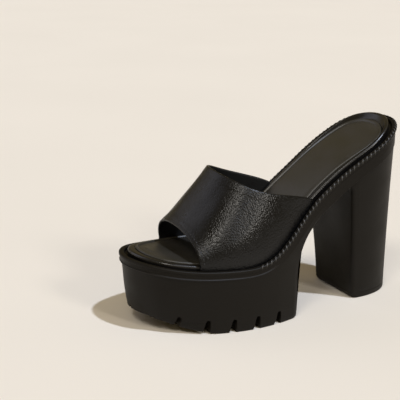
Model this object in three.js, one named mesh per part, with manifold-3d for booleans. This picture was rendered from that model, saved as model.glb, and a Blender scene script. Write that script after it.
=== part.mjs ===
// Open-toe platform mule with a chunky block heel: left shoe, millimetres, +Z up.
// The toe points to -Y, the outer side of the foot is +X, and the tread stands on z = 0.
// Every piece is a stack of closed rings that follow one last outline, or a grid over the foot.

import * as THREE from 'three';
import { mergeVertices } from 'three/addons/utils/BufferGeometryUtils.js';
import Module from 'manifold-3d';

// ---------------------------------------------------------------- driving dimensions

const FOOTBED_LENGTH = 209.0;      // toe tip to heel back, measured along the floor
const FOOTBED_THICKNESS = 5.0;
const SHELL_GAP = 0.3;             // clearance between pieces that touch
const UPPER_WALL = 1.8;            // leather plus lining
const UPPER_STANDOFF = 2.3;        // outer face of the upper, outside the footbed edge
const UPPER_TUCK = 4.7;            // how far the upper's lower edges go down beside the footbed
const SQUARE_END = 165.0;          // offsets are square to the seat up to here
const SQUARE_FADE = 38.0;          // and have turned plumb this much further back
const RIM_INSIDE = 2.62;           // rim's inner face, outside the footbed edge
const RIM_OUTSIDE = 6.42;          // rim's outer face, outside the footbed edge
const RIM_DROP = 2.7;              // rim's top, below the footbed's top edge
const RIM_FOOT = 5.2;              // where the rim steps in to the side wall
const RIDGE_DEPTH = 8.6;           // fine moulded ridge round the forefoot
const RIDGE_HALF = 0.6;            // half of the ridge's height
const RIDGE_WALL = 0.85;           // wall beside the ridge, inside the rim's outer face
const RIDGE_CREST = 0.4;
const RIDGE_END = 78.0;            // the ridge starts to fade here
const RIDGE_FADE = 18.0;
const TREAD_HEIGHT = 9.5;          // lug layer under the platform
const LUG_LAYER_MIN = 1.0;         // thinnest lug layer, under the toe
const TOE_LIFT = 10.3;             // toe spring: the tread's front edge over the floor
const TOE_LIFT_END = 46.0;         // where the tread first meets the floor
const TOE_LIFT_POWER = 1.3;        // over 1, so the tread runs into the floor without a corner
const PLATFORM_BACK = 113.0;       // vertical rear wall of the platform
const PLATFORM_CORNER = 2.6;       // rounding of that wall and of the arch's edges
const FLANGE_CORNER = 0.2;         // the same rounding once the waist has become the heel's flange
const CORNER_SHRINK_FROM = 130.0;
const CORNER_SHRINK_RUN = 20.0;
const ARCH_START = 33.0;           // height where the rear wall begins to curve into the waist
const ARCH_RADIUS = 45.2;
const ARCH_END = 127.0;            // station where the arch has run into the waist line
const WAIST_INSET = 0.9;           // waist's side, inside the rim's outer face
const WAIST_BAND = 2.8;            // height of the rings that round the waist's lower edge
const BREAST_FLOOR = 170.1;        // heel breast at the floor
const BREAST_TOP = 159.7;          // heel breast where it meets the waist
const BREAST_FILLET = 6.0;
const FILLET_NARROWING = 0.006;    // per mm that the fillet runs forward, as the waist narrows there
const BREAST_FOOT_RISE = 5.0;      // the breast's foot is rounded back this high
const BREAST_FOOT_RUN = 2.6;
const HEEL_BACK_FLOOR = 214.6;     // back of the heel at the floor
const HEEL_OUTER_FLOOR = 26.2;     // heel's half widths at the floor
const HEEL_INNER_FLOOR = -25.3;
const HEEL_STRAIGHT = 7.0;         // straight part of the heel's sides, behind the breast
const HEEL_CORNER = 3.5;
const HEEL_FLARE_POWER = 1.45;     // how late the heel widens towards the seat
const BREAST_BLEND = 2.0;          // run over which the breast's own shape fades out on the sides
const HEEL_TOP_INSET = 1.15;       // heel's top, inside the rim's outer face
const HEEL_TOP_DEPTH = 11.5;       // the heel's top ends inside the seat flange
const LUG_FIRST = 20.2;            // first side notch, from the toe tip
const LUG_PITCH = 18.3;
const LUG_COUNT = 5;
const LUG_WIDTH_FLOOR = 4.8;
const LUG_WIDTH_TOP = 2.4;
const LUG_LEAN = 1.2;              // a notch's roof stands this much further back than its mouth
const LUG_ROOF_ROUND = 1.2;
const ROOF_FOLLOWS = 0.57;         // share of the toe spring by which a notch's roof is raised
const LUG_REACH = 12.0;            // how far a notch runs in from the side
const LUG_OVERHANG = 12.0;         // how far the cutting slot sticks out past the side
const TOE_NOTCH_LIFT = 3.5;        // the toe's notch stands higher, with the toe spring
const SOCK_MARGIN_SIDE = 3.2;      // rolled edge of the footbed that shows round the sock
const SOCK_MARGIN_TOE = 5.6;
const SOCK_MARGIN_HEEL = 7.6;
const SOCK_MARGIN_POWER = 12;      // how quickly the margin narrows away from toe and heel
const SOCK_GAP = 0.4;              // sock's side to the recess's side
const HEEL_CUP = 2.0;              // the heel seat lies this much under the footbed's edge
const HEEL_CUP_FROM = 140.0;
const HEEL_CUP_RUN = 50.0;
const HEEL_LIP = 1.2;              // the footbed's edge stands up this much round the heel
const HEEL_LIP_FROM = 178.0;
const HEEL_LIP_RUN = 24.0;

const SHORT_EDGE = 0.02;           // shorter edges left by the joins are taken out

// Number of steps that curved parts are split into.
const TOE_ROWS = 13;
const FRONT_ROW_STEP = 7.2;
const FRONT_ROWS_CLEAR = 2.0;      // no row closer than this to the rounded rear corner
const CORNER_SHARES = [1, 0.45, 0.15, 0.01];
const ARCH_ANGLES = [3, 10, 18, 27, 37, 47];
const WAIST_ROWS_START = 133.0;
const WAIST_ROW_STEP = 7.5;
const WAIST_ROWS_END = 188.0;
const HEEL_ROWS = 7;
const HEEL_BACK_STEPS = 48;
const HEEL_TOP_STEPS = 160;
const HEEL_TOP_LEAD = 0.9;         // the heel's top line is followed from a little before the breast
const HEEL_SIDE_POINTS = 41;
const HEEL_FOOT = [
  { level: 0, inset: 0.8 },
  { level: 0.008, inset: 0.15 },
  { level: 0.02, inset: 0 },
];
const HEEL_LEVELS = [0.045, 0.2, 0.4, 0.6, 0.75, 0.86, 0.895, 0.92, 0.94, 0.955, 1];
const FOOTBED_TURNS = 44;
const SOCK_TURNS = 40;
const BAND_COLUMNS = 34;
const BAND_ROWS = 16;

// Footbed outline: outer and inner edge at stations counted from the toe tip.
const OUTLINE = [
  { at: 0, outer: -7, inner: -7 },
  { at: 2.5, outer: 6, inner: -18 },
  { at: 8, outer: 16.2, inner: -24.8 },
  { at: 16, outer: 23.9, inner: -30.2 },
  { at: 28, outer: 30.5, inner: -35.8 },
  { at: 42, outer: 35.7, inner: -39.2 },
  { at: 58, outer: 39.7, inner: -39.7 },
  { at: 74, outer: 41.2, inner: -38 },
  { at: 90, outer: 39.6, inner: -34.8 },
  { at: 104, outer: 36, inner: -31.1 },
  { at: 118, outer: 31.8, inner: -27.7 },
  { at: 134, outer: 29.5, inner: -26.3 },
  { at: 152, outer: 29.7, inner: -27.2 },
  { at: 170, outer: 31.5, inner: -28.8 },
  { at: 184, outer: 31.1, inner: -28.3 },
  { at: 194.6, outer: 26.6, inner: -24.8 },
  { at: 202.8, outer: 17.5, inner: -17.5 },
  { at: 209, outer: -0.6, inner: -0.6 },
];

// Height of the footbed's top edge over the floor.
const SEAT = [
  { at: -8, height: 53.9 },
  { at: 0, height: 53.8 },
  { at: 20, height: 51.2 },
  { at: 40, height: 49.4 },
  { at: 60, height: 49.0 },
  { at: 70, height: 49.1 },
  { at: 80, height: 50.6 },
  { at: 90, height: 55.0 },
  { at: 100, height: 62.3 },
  { at: 110, height: 71.3 },
  { at: 120, height: 80.6 },
  { at: 130, height: 89.2 },
  { at: 140, height: 96.8 },
  { at: 155, height: 107.6 },
  { at: 170, height: 117.2 },
  { at: 185, height: 126.0 },
  { at: 200, height: 134.0 },
  { at: 208, height: 136.9 },
  { at: 218, height: 138.6 },
];

// Depth of the waist and of the heel's seat flange under the footbed's top edge.
const WAIST = [
  { at: 113, depth: 22.4 },
  { at: 127, depth: 20.6 },
  { at: 143, depth: 18.6 },
  { at: 160, depth: 16.8 },
  { at: 178, depth: 16.5 },
  { at: 196, depth: 16.4 },
  { at: 218, depth: 16.2 },
];

// Vamp band, section by section along the foot: height over the seat, fullness, ridge offset.
const BAND = [
  { at: 26, height: 12.4, fullness: 2.12, ridge: -3.2 },
  { at: 40, height: 23.5, fullness: 2.2, ridge: -4.8 },
  { at: 56, height: 36.4, fullness: 2.28, ridge: -6.6 },
  { at: 72, height: 49.0, fullness: 2.31, ridge: -7.4 },
  { at: 88, height: 58.2, fullness: 2.3, ridge: -7.4 },
  { at: 108, height: 62.6, fullness: 2.3, ridge: -7.4 },
  { at: 130, height: 66.0, fullness: 2.29, ridge: -7.4 },
];
const BAND_LEAN_FRONT = 3.1;       // degrees the first section leans back from upright
const BAND_LEAN_BACK = 38.9;
const BAND_LEAN_FROM = 23.0;
const BAND_LEAN_TO = 133.0;

// Stations of the band's two edges, by turn over the foot: 0 outer side, 180 inner side.
const BAND_EDGES = [
  { turn: 0, toe: 34.9, instep: 126.4 },
  { turn: 30, toe: 35.6, instep: 104.2 },
  { turn: 60, toe: 36.0, instep: 91.4 },
  { turn: 90, toe: 36.5, instep: 87.8 },
  { turn: 120, toe: 37.0, instep: 94.2 },
  { turn: 150, toe: 37.8, instep: 107.2 },
  { turn: 180, toe: 38.2, instep: 125.6 },
];

// Side wall of the platform: inset from the rim's outer face, from the rim down to the floor.
// share 1 is the top of the wall and 0 the crease over the lugs; below it, share counts the lugs.
const WALL = [
  { share: 1.0, side: 0.8, toe: 1.0 },
  { share: 0.86, side: 0.9, toe: 1.9 },
  { share: 0.5, side: 1.3, toe: 3.1 },
  { share: 0.2, side: 1.35, toe: 4.4 },
  { share: 0.0, side: 1.35, toe: 5.6 },
];
const LUG_WALL = [
  { share: 0.94, side: 1.45, toe: 6.8 },
  { share: 0.3, side: 1.5, toe: 7.4 },
  { share: 0.1, side: 1.7, toe: 7.8 },
  { share: 0.0, side: 2.5, toe: 8.5 },
];
const TOE_BLEND_END = 48.0;        // where the toe's own wall shape has faded out

// Rim section: up the outer face, over the lip and down inside, ending under the footbed.
const RIM = [
  { out: RIM_OUTSIDE - 0.8, depth: RIM_FOOT },
  { out: RIM_OUTSIDE, depth: RIM_FOOT - 0.5 },
  { out: RIM_OUTSIDE, depth: RIM_DROP + 1.0 },
  { out: RIM_OUTSIDE - 0.4, depth: RIM_DROP + 0.3 },
  { out: RIM_OUTSIDE - 1.2, depth: RIM_DROP },
  { out: RIM_INSIDE + 0.3, depth: RIM_DROP },
  { out: RIM_INSIDE, depth: RIM_DROP + 0.3 },
  { out: RIM_INSIDE, depth: FOOTBED_THICKNESS + SHELL_GAP },
];

// Footbed section: inset is counted from its edge, and from the edge of the sock's recess in `hem`.
// The `lifted` rows stand up with the heel's lip.
const FOOTBED_EDGE = [
  { inset: 0.6, depth: FOOTBED_THICKNESS, lifted: false },
  { inset: 0, depth: FOOTBED_THICKNESS - 0.6, lifted: false },
  { inset: 0, depth: 1.9, lifted: true },
  { inset: 0.35, depth: 0.9, lifted: true },
  { inset: 1.0, depth: 0.25, lifted: true },
  { inset: 2.0, depth: 0, lifted: true },
];
const FOOTBED_HEM = [
  { inset: -0.3, depth: 0 },
  { inset: 0, depth: 0.3 },
  { inset: 0, depth: 1.1 },
];

// Sock section, from its edge inwards; a negative depth stands over the footbed's top edge.
const SOCK = [
  { inset: 0, depth: 0.8 },
  { inset: 0, depth: -0.1 },
  { inset: 0.5, depth: -0.6 },
  { inset: 1.6, depth: -0.8 },
];

// ---------------------------------------------------------------- curves

// Natural cubic spline through rows, as a function with its slope.
function splineThrough(xs, ys) {
  const n = xs.length;
  const bend = new Array(n).fill(0);
  const work = new Array(n).fill(0);
  for (let i = 1; i < n - 1; i++) {
    const share = (xs[i] - xs[i - 1]) / (xs[i + 1] - xs[i - 1]);
    const p = share * bend[i - 1] + 2;
    bend[i] = (share - 1) / p;
    const jump = (ys[i + 1] - ys[i]) / (xs[i + 1] - xs[i]) - (ys[i] - ys[i - 1]) / (xs[i] - xs[i - 1]);
    work[i] = ((6 * jump) / (xs[i + 1] - xs[i - 1]) - share * work[i - 1]) / p;
  }
  bend[n - 1] = 0;
  for (let i = n - 2; i >= 0; i--) bend[i] = bend[i] * bend[i + 1] + work[i];
  const span = (x) => {
    let i = 0;
    while (i < n - 2 && x > xs[i + 1]) i++;
    return i;
  };
  const at = (x) => {
    const i = span(x);
    const h = xs[i + 1] - xs[i];
    const a = (xs[i + 1] - x) / h;
    const b = (x - xs[i]) / h;
    return a * ys[i] + b * ys[i + 1] + (((a ** 3 - a) * bend[i] + (b ** 3 - b) * bend[i + 1]) * h * h) / 6;
  };
  const slope = (x) => (at(x + 0.01) - at(x - 0.01)) / 0.02;
  return { at, slope };
}

const column = (rows, key) => rows.map((row) => row[key]);
const clamp01 = (v) => Math.min(1, Math.max(0, v));
const ease = (v) => clamp01(v) ** 2 * (3 - 2 * clamp01(v));
const radians = THREE.MathUtils.degToRad;

const seat = splineThrough(column(SEAT, 'at'), column(SEAT, 'height'));
const waist = splineThrough(column(WAIST, 'at'), column(WAIST, 'depth'));

// The outline is one closed curve over the turn -PI..PI: 0 at the toe, +-PI at the heel back,
// negative on the inner side. Stations are half-cosine spaced in it, so both ends come out round.
const turnOf = (station) => Math.acos(1 - (2 * station) / FOOTBED_LENGTH);

function closedOutline() {
  const knots = [];
  for (const row of OUTLINE) {
    knots.push({ turn: turnOf(Math.min(row.at, FOOTBED_LENGTH)), x: row.outer });
    if (row.at > 0 && row.at < FOOTBED_LENGTH) knots.push({ turn: -turnOf(row.at), x: row.inner });
  }
  const loop = [];
  for (const lap of [-2 * Math.PI, 0, 2 * Math.PI]) {
    for (const knot of knots) loop.push({ turn: knot.turn + lap, x: knot.x });
  }
  loop.sort((a, b) => a.turn - b.turn);
  return splineThrough(column(loop, 'turn'), column(loop, 'x'));
}

const outline = closedOutline();

// Point of the outline at a turn, moved outwards in plan by `out`.
function outlinePoint(turn, out) {
  const dx = outline.slope(turn);
  const dy = (FOOTBED_LENGTH / 2) * Math.sin(turn);
  const length = Math.hypot(dx, dy);
  const x = outline.at(turn) + (dy / length) * out;
  const y = (FOOTBED_LENGTH / 2) * (1 - Math.cos(turn)) - (dx / length) * out;
  return { x, y };
}

// Angle of offsets from the seat: its own pitch along the foot, turning plumb round the heel.
const pitchAt = (y) => Math.atan(seat.slope(y)) * (1 - ease((y - SQUARE_END) / SQUARE_FADE));

// Point at a turn, outside the footbed by `out` and `depth` below its top, square to the seat.
function seatPoint(turn, out, depth) {
  const p = outlinePoint(turn, out);
  const pitch = pitchAt(p.y);
  return new THREE.Vector3(p.x, p.y + depth * Math.sin(pitch), seat.at(p.y) - depth * Math.cos(pitch));
}

// ---------------------------------------------------------------- closed bodies from rings

// Rings hold the same number of points, counter-clockwise from above, the first at the toe.
// The two end rings are closed by straight bars between the outer and inner side.
function stackOfRings(rings) {
  const count = rings[0].length;
  const half = count / 2;
  const points = rings.flat();
  const faces = [];
  for (let k = 0; k + 1 < rings.length; k++) {
    for (let i = 0; i < count; i++) {
      const j = (i + 1) % count;
      const a = k * count;
      const b = a + count;
      faces.push(a + i, a + j, b + j, a + i, b + j, b + i);
    }
  }
  const close = (base, up) => {
    for (let i = 0; i < half; i++) {
      const quad = [base + i, base + i + 1, base + ((count - i - 1) % count), base + ((count - i) % count)];
      const corners = up ? quad : quad.reverse();
      for (const [a, b, c] of [[0, 1, 2], [0, 2, 3]]) {
        const face = [corners[a], corners[b], corners[c]];
        if (new Set(face).size === 3) faces.push(...face);
      }
    }
  };
  close(0, false);
  close((rings.length - 1) * count, true);
  return geometryOf(points, faces);
}

function geometryOf(points, faces) {
  const geometry = new THREE.BufferGeometry();
  const positions = new Float32Array(points.flatMap((p) => [p.x, p.y, p.z]));
  geometry.setAttribute('position', new THREE.BufferAttribute(positions, 3));
  geometry.setIndex(faces);
  return geometry;
}

// Turns round the loop from the turns of one side, which run from the toe to the heel back.
const bothSides = (turns) => [...turns, ...turns.slice(1, -1).reverse().map((turn) => -turn)];

const evenTurns = (count) => Array.from({ length: count + 1 }, (_, i) => (Math.PI * i) / count);

// ---------------------------------------------------------------- boolean helpers

const wasm = await Module();
wasm.setup();

function solidOf(geometry) {
  const bare = geometry.clone();
  bare.deleteAttribute('normal');
  bare.deleteAttribute('uv');
  const merged = mergeVertices(bare, 1e-4);
  return new wasm.Manifold(new wasm.Mesh({
    numProp: 3,
    vertProperties: new Float32Array(merged.attributes.position.array),
    triVerts: new Uint32Array(merged.index.array),
  }));
}

function geometryOfSolid(solid) {
  const mesh = solid.getMesh();
  const geometry = new THREE.BufferGeometry();
  geometry.setAttribute('position', new THREE.BufferAttribute(new Float32Array(mesh.vertProperties), 3));
  geometry.setIndex(Array.from(mesh.triVerts));
  return geometry;
}

// ---------------------------------------------------------------- sole unit

// Underside of the sole: toe spring, flat tread, rounded rear foot, arch, then the waist.
function undersideAt(y) {
  if (y < TOE_LIFT_END) return TOE_LIFT * (1 - clamp01(y / TOE_LIFT_END)) ** TOE_LIFT_POWER;
  const cornerStart = PLATFORM_BACK - PLATFORM_CORNER;
  if (y < cornerStart) return 0;
  if (y < PLATFORM_BACK) return PLATFORM_CORNER - Math.sqrt(PLATFORM_CORNER ** 2 - (y - cornerStart) ** 2);
  if (y > ARCH_END) return seat.at(y) - waist.at(y);
  return ARCH_START + Math.sqrt(ARCH_RADIUS ** 2 - (PLATFORM_BACK + ARCH_RADIUS - y) ** 2);
}

// How far a side point lies in from the nearest of the rear wall, the arch and the waist's edge.
function edgeDistance(y, z) {
  if (y > ARCH_END) return (z - undersideAt(y)) * Math.cos(Math.atan(seat.slope(y)));
  if (z < ARCH_START) return PLATFORM_BACK - y;
  return Math.hypot(PLATFORM_BACK + ARCH_RADIUS - y, z - ARCH_START) - ARCH_RADIUS;
}

// Inset that rounds those edges: a quarter circle over the distance from the edge.
function edgeRounding(y, z) {
  const shrink = ease((y - CORNER_SHRINK_FROM) / CORNER_SHRINK_RUN);
  const radius = PLATFORM_CORNER + (FLANGE_CORNER - PLATFORM_CORNER) * shrink;
  const run = clamp01(1 - edgeDistance(y, z) / radius);
  return radius * (1 - Math.sqrt(1 - run ** 2));
}

// Turn at which the foot of the rim stands over the wanted y.
function turnUnder(y) {
  let low = 0;
  let high = Math.PI;
  for (let i = 0; i < 50; i++) {
    const turn = (low + high) / 2;
    const station = (FOOTBED_LENGTH / 2) * (1 - Math.cos(turn));
    if (station + RIM_FOOT * Math.sin(pitchAt(station)) < y) low = turn;
    else high = turn;
  }
  return (low + high) / 2;
}

// Rows of the sole: the turn of each row, and whether it stands behind the platform.
function soleRows() {
  const rows = [];
  for (let i = 0; i < TOE_ROWS; i++) {
    rows.push({ turn: (turnUnder(TOE_LIFT_END) * i) / TOE_ROWS, back: false });
  }
  const cornerStart = PLATFORM_BACK - PLATFORM_CORNER;
  for (let y = TOE_LIFT_END; y < cornerStart - FRONT_ROWS_CLEAR; y += FRONT_ROW_STEP) {
    rows.push({ turn: turnUnder(y), back: false });
  }
  for (const share of CORNER_SHARES) {
    rows.push({ turn: turnUnder(PLATFORM_BACK - share * PLATFORM_CORNER), back: false });
  }
  for (const angle of ARCH_ANGLES) {
    const y = PLATFORM_BACK + ARCH_RADIUS * (1 - Math.cos(radians(angle)));
    rows.push({ turn: turnUnder(y), back: true });
  }
  for (let y = WAIST_ROWS_START; y < WAIST_ROWS_END; y += WAIST_ROW_STEP) {
    rows.push({ turn: turnUnder(y), back: true });
  }
  const last = rows[rows.length - 1].turn;
  for (let i = 1; i <= HEEL_ROWS; i++) {
    rows.push({ turn: last + ((Math.PI - last) * i) / HEEL_ROWS, back: true });
  }
  return rows;
}

// One point of the side wall: `upper` counts from the crease to the rim, `lower` from the floor to it.
function wallPoint(turn, back, upper, lower, profile) {
  const top = seatPoint(turn, RIM[0].out, RIM_FOOT);
  const base = undersideAt(top.y);
  const crease = back ? base + WAIST_BAND : Math.max(TREAD_HEIGHT, base + LUG_LAYER_MIN);
  const z = lower === null ? crease + upper * (top.z - crease) : base + lower * (crease - base);
  const toeShare = back ? 0 : 1 - ease(top.y / TOE_BLEND_END);
  const inset = back ? WAIST_INSET : profile.side + (profile.toe - profile.side) * toeShare;
  const p = outlinePoint(turn, RIM_OUTSIDE - inset - edgeRounding(top.y, z));
  const lean = top.y - outlinePoint(turn, RIM[0].out).y;
  return new THREE.Vector3(p.x, p.y + lean, z);
}

// The fine ridge fades out before the waist.
const ridgeShare = (y) => 1 - ease((y - RIDGE_END) / RIDGE_FADE);

function platformAndWaist() {
  const rows = soleRows();
  const turns = bothSides(rows.map((row) => row.turn));
  const backs = [...rows, ...rows.slice(1, -1).reverse()].map((row) => row.back);
  const wall = (upper, lower, profile) =>
    turns.map((turn, i) => wallPoint(turn, backs[i], upper, lower, profile));
  const ridge = (depth, inset) =>
    turns.map((turn) => {
      const flat = seatPoint(turn, RIM_OUTSIDE - RIDGE_WALL, depth);
      const proud = (RIDGE_WALL - inset) * ridgeShare(flat.y);
      return seatPoint(turn, RIM_OUTSIDE - RIDGE_WALL + proud, depth);
    });
  const rings = [];
  for (const profile of [...LUG_WALL].reverse()) rings.push(wall(0, profile.share, profile));
  for (const profile of [...WALL].reverse().slice(0, -1)) rings.push(wall(profile.share, null, profile));
  rings.push(ridge(RIDGE_DEPTH + RIDGE_HALF, RIDGE_WALL));
  rings.push(ridge(RIDGE_DEPTH, RIDGE_CREST));
  rings.push(ridge(RIDGE_DEPTH - RIDGE_HALF, RIDGE_WALL));
  for (const { out, depth } of RIM) rings.push(turns.map((turn) => seatPoint(turn, out, depth)));
  return stackOfRings(rings);
}

// Evenly spaced points along an open polyline.
function spaced(points, count) {
  const along = [0];
  for (let i = 1; i < points.length; i++) along.push(along[i - 1] + points[i].distanceTo(points[i - 1]));
  const total = along[along.length - 1];
  const result = [];
  let k = 0;
  for (let i = 0; i < count; i++) {
    const want = (total * i) / (count - 1);
    while (k < points.length - 2 && along[k + 1] < want) k++;
    const share = (want - along[k]) / (along[k + 1] - along[k]);
    result.push(points[k].clone().lerp(points[k + 1], clamp01(share)));
  }
  return result;
}

// Heel outline at the floor: straight sides behind the breast, closed by an elliptical back.
function heelFloorCurve() {
  const middle = (HEEL_OUTER_FLOOR + HEEL_INNER_FLOOR) / 2;
  const radius = (HEEL_OUTER_FLOOR - HEEL_INNER_FLOOR) / 2;
  const start = BREAST_FLOOR + HEEL_STRAIGHT;
  const points = [new THREE.Vector2(HEEL_OUTER_FLOOR, BREAST_FLOOR)];
  for (let i = 0; i <= HEEL_BACK_STEPS; i++) {
    const angle = (Math.PI * i) / HEEL_BACK_STEPS;
    points.push(new THREE.Vector2(
      middle + radius * Math.cos(angle), start + (HEEL_BACK_FLOOR - start) * Math.sin(angle)));
  }
  points.push(new THREE.Vector2(HEEL_INNER_FLOOR, BREAST_FLOOR));
  return points;
}

// Heel outline under the seat: the rim's own outline behind the breast.
function heelTopCurve() {
  const points = [];
  const start = turnUnder(BREAST_TOP) * HEEL_TOP_LEAD;
  for (let i = 0; i <= HEEL_TOP_STEPS; i++) {
    const turn = start + ((2 * Math.PI - 2 * start) * i) / HEEL_TOP_STEPS;
    const p = outlinePoint(turn > Math.PI ? turn - 2 * Math.PI : turn, RIM_OUTSIDE - HEEL_TOP_INSET);
    if (p.y > BREAST_TOP) points.push(new THREE.Vector2(p.x, p.y));
  }
  points.unshift(new THREE.Vector2(points[0].x, BREAST_TOP));
  points.push(new THREE.Vector2(points[points.length - 1].x, BREAST_TOP));
  return points;
}

// Closes a heel curve with the straight breast, rounding its two vertical corners.
function heelLoop(curve) {
  const sides = spaced(curve, HEEL_SIDE_POINTS);
  const first = curve[0];
  const last = curve[curve.length - 1];
  const inward = new THREE.Vector2(-HEEL_CORNER, 0);
  const corner = (from, at, to) => [1, 2, 3].map((i) => {
    const t = i / 4;
    const p = from.clone().multiplyScalar((1 - t) ** 2);
    return p.addScaledVector(at, 2 * t * (1 - t)).addScaledVector(to, t * t);
  });
  const outerIn = first.clone().add(inward);
  const innerIn = last.clone().sub(inward);
  const outerBack = new THREE.Vector2(first.x, first.y + HEEL_CORNER);
  const innerBack = new THREE.Vector2(last.x, last.y + HEEL_CORNER);
  const middle = outerIn.clone().lerp(innerIn, 0.5);
  const kept = sides.filter((p, i) => i > 1 && i < sides.length - 2);
  return [
    middle, outerIn, ...corner(outerIn, first, outerBack), outerBack, ...kept,
    innerBack, ...corner(innerBack, last, innerIn), innerIn,
  ];
}

function heelBlock() {
  const floor = heelLoop(heelFloorCurve());
  const top = heelLoop(heelTopCurve());
  const centre = new THREE.Vector2(0, (BREAST_FLOOR + HEEL_BACK_FLOOR) / 2);
  const filletLow = seat.at(BREAST_TOP) - waist.at(BREAST_TOP) - BREAST_FILLET;
  const frontShare = (p) => clamp01((BREAST_TOP + HEEL_CORNER + BREAST_BLEND / 2 - p.y) / BREAST_BLEND);
  const ring = (level, inset) => floor.map((low, i) => {
    const high = top[i];
    const z = level * (seat.at(high.y) - HEEL_TOP_DEPTH);
    const p = low.clone().lerp(high, level ** HEEL_FLARE_POWER);
    const bevel = p.clone().sub(centre).setLength(inset);
    const reach = clamp01((z - filletLow) / BREAST_FILLET);
    const fillet = BREAST_FILLET * (1 - Math.sqrt(1 - reach ** 2));
    const foot = BREAST_FOOT_RUN * clamp01(1 - z / BREAST_FOOT_RISE) ** 2;
    const shift = (foot - fillet) * frontShare(high);
    const narrowed = p.x * (1 + FILLET_NARROWING * Math.min(0, shift));
    return new THREE.Vector3(narrowed - bevel.x, p.y - bevel.y + shift, z);
  });
  const rings = HEEL_FOOT.map(({ level, inset }) => ring(level, inset));
  for (const level of HEEL_LEVELS) rings.push(ring(level, 0));
  return fanOfRings(rings);
}

// Rings closed at both ends by a fan, for outlines that are not paired side to side.
function fanOfRings(rings) {
  const count = rings[0].length;
  const points = rings.flat();
  const faces = [];
  for (let k = 0; k + 1 < rings.length; k++) {
    for (let i = 0; i < count; i++) {
      const j = (i + 1) % count;
      const a = k * count;
      const b = a + count;
      faces.push(a + i, a + j, b + j, a + i, b + j, b + i);
    }
  }
  for (const [ring, up] of [[0, false], [rings.length - 1, true]]) {
    const hub = points.length;
    const sum = rings[ring].reduce((total, p) => total.add(p), new THREE.Vector3());
    points.push(sum.divideScalar(count));
    for (let i = 0; i < count; i++) {
      const a = ring * count + i;
      const b = ring * count + ((i + 1) % count);
      if (up) faces.push(hub, a, b);
      else faces.push(hub, b, a);
    }
  }
  return geometryOf(points, faces);
}

// A notch between two lugs: a tapered slot with a rounded roof, leaning by `lean`, `reach` long.
function lugNotch(reach, lean) {
  const shape = new THREE.Shape();
  const wide = LUG_WIDTH_FLOOR / 2;
  const narrow = LUG_WIDTH_TOP / 2;
  const low = -lean / 2;
  const high = lean / 2;
  shape.moveTo(low - wide, -1);
  shape.lineTo(low + wide, -1);
  shape.lineTo(high + narrow, TREAD_HEIGHT - LUG_ROOF_ROUND);
  shape.quadraticCurveTo(high + narrow, TREAD_HEIGHT, high, TREAD_HEIGHT);
  shape.quadraticCurveTo(high - narrow, TREAD_HEIGHT, high - narrow, TREAD_HEIGHT - LUG_ROOF_ROUND);
  shape.closePath();
  const geometry = new THREE.ExtrudeGeometry(shape, { depth: reach, bevelEnabled: false, curveSegments: 3 });
  return geometry.rotateX(Math.PI / 2);   // runs from y = 0 towards -y
}

// Notches run in from the sides; one more opens the toe.
function lugNotches() {
  const notches = [];
  const length = LUG_REACH + LUG_OVERHANG;
  for (let i = 0; i < LUG_COUNT; i++) {
    const station = LUG_FIRST + i * LUG_PITCH;
    const turn = turnOf(station);
    const lift = ROOF_FOLLOWS * undersideAt(station);
    for (const side of [1, -1]) {
      const edge = outlinePoint(side * turn, RIM_OUTSIDE);
      const notch = lugNotch(length, side * LUG_LEAN).rotateZ(side * Math.PI / 2);
      notches.push(notch.translate(edge.x - side * LUG_REACH, station, lift));
    }
  }
  const toe = outlinePoint(0, RIM_OUTSIDE);
  notches.push(lugNotch(length, 0).translate(toe.x, toe.y + LUG_REACH, TOE_NOTCH_LIFT));
  return notches;
}

function soleUnit() {
  let solid = solidOf(platformAndWaist()).add(solidOf(heelBlock()));
  for (const notch of lugNotches()) solid = solid.subtract(solidOf(notch));
  return geometryOfSolid(solid.simplify(SHORT_EDGE));
}

// ---------------------------------------------------------------- footbed and sock

// Width of the footbed's edge that shows round the sock: widest at toe and heel.
function sockMargin(turn) {
  const end = Math.cos(turn) > 0 ? SOCK_MARGIN_TOE : SOCK_MARGIN_HEEL;
  return SOCK_MARGIN_SIDE + (end - SOCK_MARGIN_SIDE) * Math.abs(Math.cos(turn)) ** SOCK_MARGIN_POWER;
}

// The heel's seat is hollowed like a shallow cup.
function heelCup(turn) {
  const station = (FOOTBED_LENGTH / 2) * (1 - Math.cos(turn));
  return HEEL_CUP * ease((station - HEEL_CUP_FROM) / HEEL_CUP_RUN);
}

// Its edge stands up round the heel.
function heelLip(turn) {
  const station = (FOOTBED_LENGTH / 2) * (1 - Math.cos(turn));
  return HEEL_LIP * ease((station - HEEL_LIP_FROM) / HEEL_LIP_RUN);
}

// Board wrapped in smooth leather: rolled edge, and a shallow recess that takes the sock.
function footbed() {
  const turns = bothSides(evenTurns(FOOTBED_TURNS));
  const edge = FOOTBED_EDGE.map(({ inset, depth, lifted }) =>
    turns.map((turn) => seatPoint(turn, -inset, depth - (lifted ? heelLip(turn) : 0))));
  const hem = FOOTBED_HEM.map(({ inset, depth }) =>
    turns.map((turn) => seatPoint(turn, -(sockMargin(turn) + inset), depth + heelCup(turn))));
  return stackOfRings([...edge, ...hem]);
}

// Thin padded inner sock with softly rounded edges.
function sockLining() {
  const turns = bothSides(evenTurns(SOCK_TURNS));
  return stackOfRings(SOCK.map(({ inset, depth }) =>
    turns.map((turn) => seatPoint(turn, -(sockMargin(turn) + SOCK_GAP + inset), depth + heelCup(turn)))));
}

// ---------------------------------------------------------------- upper

const bandHeight = splineThrough(column(BAND, 'at'), column(BAND, 'height'));
const bandFullness = splineThrough(column(BAND, 'at'), column(BAND, 'fullness'));
const bandRidge = splineThrough(column(BAND, 'at'), column(BAND, 'ridge'));
const toeEdge = splineThrough(column(BAND_EDGES, 'turn'), column(BAND_EDGES, 'toe'));
const instepEdge = splineThrough(column(BAND_EDGES, 'turn'), column(BAND_EDGES, 'instep'));

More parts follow.
